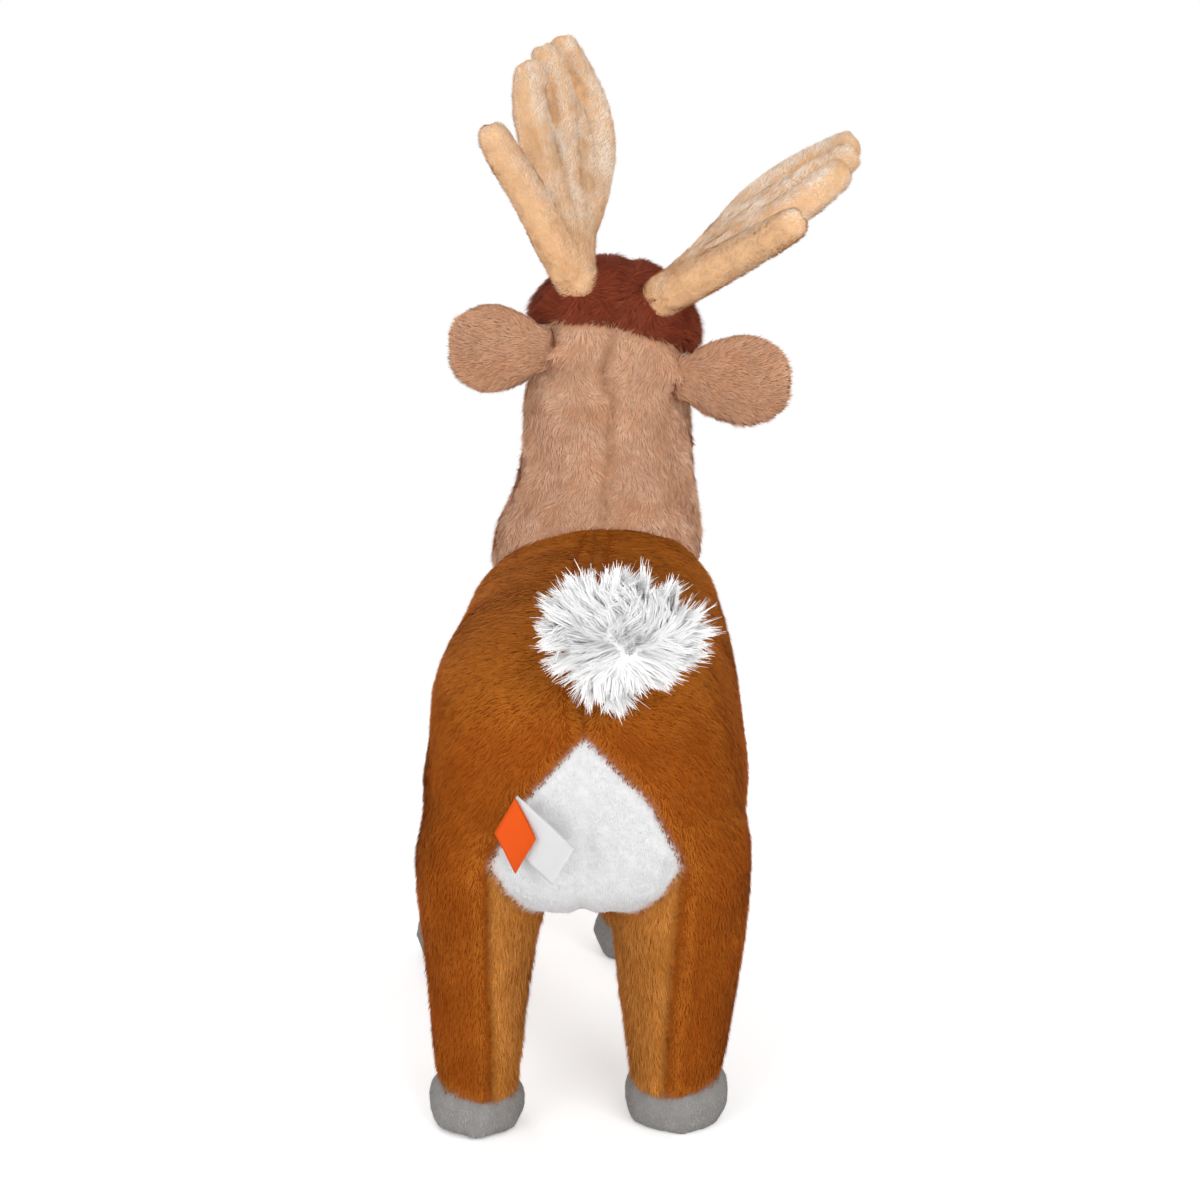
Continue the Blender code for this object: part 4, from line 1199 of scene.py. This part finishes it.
def make_tail():
    """A puffed core, and flat strands that lean together in clumps.

    Each strand leans to the nearest of some random roots, the leaders, whose ways spread from the
    tuft's middle.
    """
    white = colours().tail
    obj = joined_copy("tail_cloth", ["tail"])
    remeshed(obj, tail_step, smooth_rounds)
    unsewn = np.full(len(obj.data.vertices), held_seam[1])
    puffed(obj, unsewn, inset=0.0035, cap=0.0015)
    subdivided(obj)
    points, triangles, normals = surface(obj.data)
    obj.data.shade_smooth()
    backing = cloth_material("tail backing", white, 0.9, 1.0)
    finish_piece(obj, "tail_tuft", [backing], ["tail"])
    start, axes = framed("tail")
    rng = np.random.default_rng(131)
    corners, weights = scattered(points, triangles, strand_density, rng)
    roots = carried(points, corners, weights)
    normal = unit(carried(normals, corners, weights))
    keep = (roots - start) @ axes[1] > 0.004
    roots, normal = roots[keep], normal[keep]
    count = len(roots)
    leaders = roots[rng.choice(count, clump_count, replace=False)]
    nearest = np.empty(count, int)
    for low in range(0, count, 2000):
        block = roots[low : low + 2000, None] - leaders[None]
        nearest[low : low + 2000] = (block**2).sum(axis=2).argmin(axis=1)
    spread = leaders - (start + axes[1] * tail_core)
    spread -= (spread @ axes[2])[:, None] * axes[2] * 0.4
    drift = np.stack([waves(leaders, 0.016, seed) for seed in (133, 134, 135)], axis=1)
    leader_way = unit(spread) * 0.9 + axes[1] * 0.10 + drift * 0.8
    leader_way = unit(leader_way + rng.normal(0, 0.16, leaders.shape))[nearest]
    leader_length = sizes().tail_pile * rng.uniform(0.65, 1.15, clump_count)
    length = (leader_length[nearest] * rng.uniform(0.75, 1.08, count))[:, None]
    outward = unit(along(leader_way, normal, 0.8) + normal * 0.16)
    middles = roots + unit(outward + normal * 0.30) * (length * 0.5)
    gather = leaders[nearest] + unit(leader_way + normal * 0.16) * length * 1.02
    tips = mix(roots + outward * length, gather, 0.45) + rng.normal(0, 0.0009, roots.shape)
    across = unit(np.cross(outward, normal + rng.normal(0, 0.12, normal.shape)))
    widths = rng.uniform(0.00040, 0.00065, count)
    strands, faces = strand_arrays(roots - normal * 0.0006, middles, tips, widths, across)
    rise = 1 / strand_steps
    low = np.arange(strand_steps - 1)[:, None, None] * (0.0, rise)
    map_corners = low + ((0.15, 0.1), (0.85, 0.1), (0.85, 0.1 + rise), (0.15, 0.1 + rise))
    # Each strand darker at its root than at its tip: painted shade deep in the tuft, with a random
    # tone per strand.
    tone = np.linspace(0.98, 1.02, strand_steps)[None] * rng.uniform(0.97, 1.02, count)[:, None]
    tones = np.repeat(tone.reshape(-1, 1) * np.array(white), 2, axis=0)
    gloss = (0.6, 0.2, 0.05)
    hair_piece("tail_strands", "tail_tuft", strands, faces, map_corners, tones, gloss)


# Face

# The eye's flat back and shank below its dome, as radius and height
eye_radius = 0.0055
eye_height = 0.0042
eye_back = (
    (0.0054, -0.0003),
    (0.0050, -0.0005),
    (0.0019, -0.0005),
    (0.0018, -0.0008),
    (0.0018, -0.0098),
    (0.0004, -0.0100),
)
nose_step = 0.0010
nostril_place = (0.0042, -0.0006)  # from the pad's middle, sideways and up
nostril_stretch = (1.25, 1.0)
nostril_reach = 0.0017
nostril_depth = 0.0016
# The mouth's line starts under the nose's middle, drops, and parts to either side
mouth_start = 0.0035
mouth_drop = 0.0070
mouth_reach = 0.0095
mouth_sag = 0.0020
mouth_rise = 0.0015
thread_lift = 0.0013


def make_eyes():
    """Domes with a rounded rim, a flat back and a shank, turned about their axes."""
    gloss = {"Specular IOR Level": 0.3, "Coat Weight": 0.2, "Coat Roughness": 0.03}
    inputs = {"Roughness": 0.06, **gloss}
    low, high = colours().black, (0.030, 0.018, 0.012)
    material = mottled_material("eye plastic", 90.0, 2.0, low, high, inputs)
    turn = np.linspace(math.radians(88), 0, 14)
    dome = np.stack((eye_radius * np.cos(turn), eye_height * np.sin(turn)), axis=1)
    radius, height = np.concatenate((dome, eye_back)).T[:, :, None, None]
    for word, (place, axis) in eye_seats.items():
        axis = unit(np.array(axis))
        other = unit(np.cross(axis, (0.0, 0.0, 1.0)))
        ring = turned(other, np.cross(axis, other), full_turn(48))
        points = origin() + np.array(place) + radius * ring[None] + height * axis
        mesh = closed_mesh(f"eye_{word}_dome", [points])
        mesh.shade_smooth()
        obj = link_object(f"eye_{word}_dome", mesh)
        finish_piece(obj, "body", [material], [f"eye_{word}"])


def nose_middle():
    low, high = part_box("nose")
    return np.array((low + high) / 2)


def make_nose():
    """The soft nose pad: the CAD pad as one even skin, with two nostrils pressed in as bells."""
    obj = joined_copy("nose_pad", ["nose"])
    remeshed(obj, nose_step, 3)
    subdivided(obj)
    points, _, normals = surface(obj.data)
    local = (points - nose_middle()) @ head_axes().T
    depth = np.zeros(len(points))
    front = ramp(-local[:, 1], -0.001, 0.003)
    for side in (-1, 1):
        away = (local[:, (0, 2)] - np.array(nostril_place) * (side, 1)) / nostril_stretch
        depth += nostril_depth * bell(np.linalg.norm(away, axis=1), nostril_reach) * front
    set_points(obj.data, points - normals * depth[:, None])
    obj.data.shade_smooth()
    low, high = colours().black, (0.055, 0.042, 0.036)
    inputs = {"Roughness": 0.75, "Sheen Weight": 0.35}
    velour = mottled_material("nose velour", 900.0, 3.0, low, high, inputs, 0.6, 0.0004)
    finish_piece(obj, "body", [velour], ["nose"])


def make_mouth():
    """A stitched line down from the nose and a curve to either side, laid on the muzzle's cloth."""
    cloth = made["body"]
    tree = BVHTree.FromPolygons(cloth["points"].tolist(), cloth["triangles"].tolist())
    axes = head_axes()
    start = origin() + np.array(head_place)
    t = np.linspace(0, 1, 12)
    top = ((nose_middle() - start) @ axes.T)[2] - mouth_start
    curve = top - mouth_drop - mouth_sag * np.sin(math.pi * t) + mouth_rise * t
    lines = ((0 * t, top - mouth_drop * t), (-mouth_reach * t, curve), (mouth_reach * t, curve))
    grids = []
    for line in lines:
        laid = []
        for x, z in zip(*line):
            source = start + np.array((x, -0.140, z)) @ axes
            hit, normal, _, _ = tree.ray_cast(Vector(source), Vector(axes[1]))
            if hit is not None:
                laid.append(np.array(hit) + np.array(normal) * thread_lift)
        if len(laid) < 4:
            raise RuntimeError("the mouth's line misses the muzzle")
        radii = np.full(len(laid), sizes().thread / 2)
        grids.append(finger_rings(np.array(laid), radii, np.array((0.3, 1.0, 0.2)), 8))
    mesh = closed_mesh("mouth_stitch", grids)
    mesh.shade_smooth()
    low, high = (0.020, 0.012, 0.010), (0.060, 0.040, 0.032)
    inputs = {"Roughness": 0.55}
    thread = mottled_material("mouth thread", 1400.0, 2.0, low, high, inputs, bump=0.0003)
    finish_piece(link_object("mouth_stitch", mesh), "body", [thread])


def dress_washers():
    """The locking washers keep their CAD mesh and get moulded plastic."""
    low, high = (0.70, 0.70, 0.68), (0.82, 0.82, 0.80)
    inputs = {"Roughness": 0.4}
    name = "washer plastic finish"
    material = mottled_material(name, 300.0, 2.0, low, high, inputs, bump=0.00005)
    for word, _ in sides:
        mesh = nodes[f"eye_washer_{word}"].data
        mesh.materials.clear()
        mesh.materials.append(material)


# Labels

ribbon_rows = 40
ribbon_columns = 16
ribbon_thickness = 0.0003


def folded_ribbon(length, width, gap, droop, curl):
    """A ribbon sewn in at x = 0, out to length and back beneath itself, gap apart at most.

    Along it s runs from 0 to 2 and turn = pi s / 2: x = length * sin(turn)^0.8, y = across less
    droop * x, and z = half the gap * cos(turn) * (0.35 + 0.65 sin(turn)), plus
    curl * (x / length)^2 and a slight wave across.
    """
    turn = np.pi * np.linspace(0, 2, ribbon_rows)[:, None] / 2
    v = np.linspace(-0.5, 0.5, ribbon_columns)[None]
    x = length * np.sin(turn) ** 0.8 + 0 * v
    level = gap / 2 * np.cos(turn) * (0.35 + 0.65 * np.sin(turn))
    z = level + curl * (x / length) ** 2 + 0.15 * curl * np.cos(2 * np.pi * v) * (x / length)
    return np.stack((x, width * v - droop * x, z), axis=-1)


def make_labels():
    """The folded orange tab over the white label, both blank, sewn into the patch's left edge."""
    palette = colours()
    satin = woven_material("satin weave", palette.satin, 60.0, 0.38, 0.4)
    ribbon = woven_material("ribbon weave", palette.orange, 40.0, 0.6, 0.12)
    start, axes = framed("flap")
    for name, node, slot, material, length, width, gap, droop, curl, lift in (
        (
            "satin_label", "woven_label", "label", satin,
            0.0260, 0.0165, 0.0007, 0.12, 0.0012, 0.0006,
        ),
        (
            "orange_tab", "ribbon_tab", "tab", ribbon,
            0.0135, 0.0155, 0.0016, 0.55, 0.0016, 0.0020,
        ),
    ):
        grid = folded_ribbon(length, width, gap, droop, curl)
        grid[..., 2] += lift
        points = start + grid.reshape(-1, 3) @ axes
        mesh = new_mesh(name, points, grid_faces(ribbon_rows, ribbon_columns))
        corners = face_corners(mesh).ravel()
        u = corners // ribbon_columns / ribbon_rows * length * 2
        v = corners % ribbon_columns / ribbon_columns * width
        uv = (np.stack((u, v), axis=1) * 40).astype(np.float32)
        mesh.uv_layers.new(name="weave").uv.foreach_set("vector", uv.ravel())
        mesh.shade_smooth()
        obj = link_object(name, mesh)
        modified(obj, "SOLIDIFY", thickness=ribbon_thickness, offset=0)
        finish_piece(obj, "sewn_labels", [material], [node])


# Stage

floor_radii = (0.01, 2, 6)
floor_sides = 64
floor_drop = 0.0002
aim = (0.0, 0.0, 0.18)
camera_place = (0.070, 0.933, 0.433)  # from the hind hooves' rear edge
camera_turn = math.radians(4.7)
camera_dip = math.radians(14.0)


def placed(obj, place, heading):
    """Puts a lamp or camera at a place, looking along a heading."""
    obj.location = place
    obj.rotation_euler = Vector(heading).to_track_quat("-Z", "Y").to_euler()
    bpy.context.scene.collection.objects.link(obj)


def area_light(name, place, side, power):
    light = bpy.data.lights.new(name, "AREA")
    light.shape = "SQUARE"
    light.size = side
    light.energy = power
    placed(bpy.data.objects.new(name, light), place, Vector(aim) - Vector(place))


def seen_directly(tree):
    """One where the camera or a mirror image looks, zero for the light that falls on things."""
    path = add_node(tree, "ShaderNodeLightPath").outputs
    return combined(tree, "MAXIMUM", path["Is Camera Ray"], path["Is Glossy Ray"])


def shader_mix(tree, share, first, second):
    return add_node(tree, "ShaderNodeMixShader", {0: share, 1: first, 2: second}).outputs[0]


def floor_material(colour):
    """Matt floor that keeps the shadow. Further out it turns to plain white for the camera."""
    inputs = {"Roughness": 1.0, "Specular IOR Level": 0.0}
    material = mottled_material("studio floor", 3.0, 2.0, scaled(colour, 0.995), colour, inputs)
    tree = material.node_tree
    place = add_node(tree, "ShaderNodeTexCoord").outputs["Object"]
    away = add_node(tree, "ShaderNodeVectorMath", {0: place}, operation="LENGTH").outputs["Value"]
    limits = {"From Min": 0.30, "From Max": 0.62, "Value": away}
    far = add_node(tree, "ShaderNodeMapRange", limits, interpolation_type="SMOOTHSTEP")
    seen = seen_directly(tree)
    share = combined(tree, "MULTIPLY", far.outputs["Result"], seen)
    lift = {"Strength": combined(tree, "MULTIPLY", seen, 0.32)}
    matt = tree.nodes["Principled BSDF"].outputs[0]
    lifted = {0: matt, 1: add_node(tree, "ShaderNodeEmission", lift).outputs[0]}
    near = add_node(tree, "ShaderNodeAddShader", lifted).outputs[0]
    white = add_node(tree, "ShaderNodeEmission").outputs[0]
    feed(tree.nodes["Material Output"], {"Surface": shader_mix(tree, share, near, white)})
    return material


def make_floor(colour):
    turn = full_turn(floor_sides)
    rings = [turned(np.array((r, 0, 0)), np.array((0, r, 0)), turn) for r in floor_radii]
    faces = grid_faces(len(rings), floor_sides, closed=True)[:, ::-1]

    def close_middle(bm):
        rims = [edge for edge in bm.edges if edge.is_boundary]
        inner = [edge for edge in rims if edge.verts[0].index < floor_sides]
        bmesh.ops.holes_fill(bm, edges=inner)
        bm.normal_update()
        bmesh.ops.recalc_face_normals(bm, faces=bm.faces)

    mesh = edited(new_mesh("floor", np.concatenate(rings), faces), close_middle)
    mesh.materials.append(floor_material(colour))
    floor = link_object("floor", mesh)
    floor.location.z = -floor_drop


def make_world():
    """White where it is seen, dimmer where it lights."""
    world = bpy.data.worlds.new("studio")
    world.use_nodes = True
    bpy.context.scene.world = world
    tree = world.node_tree
    tree.nodes.clear()
    skies = []
    for power in (0.62, 1.0):
        inputs = {"Color": (1, 1, 1, 1), "Strength": power}
        skies.append(add_node(tree, "ShaderNodeBackground", inputs).outputs[0])
    both = shader_mix(tree, seen_directly(tree), *skies)
    add_node(tree, "ShaderNodeOutputWorld", {"Surface": both})


def make_camera(lens):
    camera = bpy.data.cameras.new("camera")
    camera.lens = lens
    camera.sensor_width = 36.0
    camera.clip_start = 0.01
    obj = bpy.data.objects.new("camera", camera)
    level = math.cos(camera_dip)
    heading = (
        -math.sin(camera_turn) * level, -math.cos(camera_turn) * level, -math.sin(camera_dip)
    )
    placed(obj, tuple(origin() + np.array(camera_place)), heading)
    bpy.context.scene.camera = obj


def make_stage():
    scene = bpy.context.scene
    scene.view_settings.view_transform = "Standard"
    stage = scene.deer_stage
    make_floor(stage.floor)
    make_world()
    area_light("key", (-0.55, 1.45, 1.00), 1.1, stage.light)
    area_light("fill", (1.05, 1.20, 0.55), 1.1, stage.light * 0.6)
    area_light("front", (0.4, -1.4, 1.0), 1.2, stage.light * 0.7)
    make_camera(stage.lens)


# Operators, panel and registration


class DEER_OT_cloth(bpy.types.Operator):
    """Makes the cloth of the torso, legs, neck and head"""

    bl_idname = "deer.cloth"
    bl_label = "Body cloth"

    def execute(self, context):
        make_body_cloth()
        return {"FINISHED"}


class DEER_OT_pile(bpy.types.Operator):
    """Makes the pile on the body's cloth"""

    bl_idname = "deer.pile"
    bl_label = "Body pile"

    def execute(self, context):
        make_body_pile()
        return {"FINISHED"}


class DEER_OT_ears(bpy.types.Operator):
    """Makes both ears"""

    bl_idname = "deer.ears"
    bl_label = "Ears"

    def execute(self, context):
        make_ears()
        return {"FINISHED"}


class DEER_OT_antlers(bpy.types.Operator):
    """Makes both antlers"""

    bl_idname = "deer.antlers"
    bl_label = "Antlers"

    def execute(self, context):
        make_antlers()
        return {"FINISHED"}


class DEER_OT_tail(bpy.types.Operator):
    """Makes the tail's core and its long strands"""

    bl_idname = "deer.tail"
    bl_label = "Tail"

    def execute(self, context):
        make_tail()
        return {"FINISHED"}


class DEER_OT_face(bpy.types.Operator):
    """Makes the eyes, the nose pad and the stitched mouth"""

    bl_idname = "deer.face"
    bl_label = "Face"

    def execute(self, context):
        make_eyes()
        make_nose()
        make_mouth()
        dress_washers()
        return {"FINISHED"}


class DEER_OT_labels(bpy.types.Operator):
    """Makes the folded tab and the label"""

    bl_idname = "deer.labels"
    bl_label = "Labels"

    def execute(self, context):
        make_labels()
        return {"FINISHED"}


class DEER_OT_stage(bpy.types.Operator):
    """Makes the floor, the lights and the camera"""

    bl_idname = "deer.stage"
    bl_label = "Stage"

    def execute(self, context):
        make_stage()
        return {"FINISHED"}


class DEER_PT_panel(bpy.types.Panel):
    """Lists the deer's pieces and their sizes and colours"""

    bl_idname = "DEER_PT_panel"
    bl_label = "Plush deer"
    bl_space_type = "VIEW_3D"
    bl_region_type = "UI"
    bl_category = "Plush deer"

    def draw(self, context):
        layout = self.layout
        for operator in operators:
            layout.operator(operator.bl_idname)
        for word in property_groups:
            group = getattr(context.scene, word)
            box = layout.box()
            for name in group.__annotations__:
                box.prop(group, name)


operators = (
    DEER_OT_cloth,
    DEER_OT_pile,
    DEER_OT_ears,
    DEER_OT_antlers,
    DEER_OT_tail,
    DEER_OT_face,
    DEER_OT_labels,
    DEER_OT_stage,
)
property_groups = {"deer_sizes": DeerSizes, "deer_colours": DeerColours, "deer_stage": DeerStage}
classes = (*property_groups.values(), *operators, DEER_PT_panel)


def register():
    for cls in classes:
        bpy.utils.register_class(cls)
    for word, group in property_groups.items():
        setattr(bpy.types.Scene, word, bpy.props.PointerProperty(type=group))


def unregister():
    for word in property_groups:
        delattr(bpy.types.Scene, word)
    for cls in reversed(classes):
        bpy.utils.unregister_class(cls)


def main():
    register()
    bpy.ops.deer.cloth()
    bpy.ops.deer.pile()
    bpy.ops.deer.ears()
    bpy.ops.deer.antlers()
    bpy.ops.deer.tail()
    bpy.ops.deer.face()
    bpy.ops.deer.labels()
    bpy.ops.deer.stage()


if __name__ == "__main__":
    main()
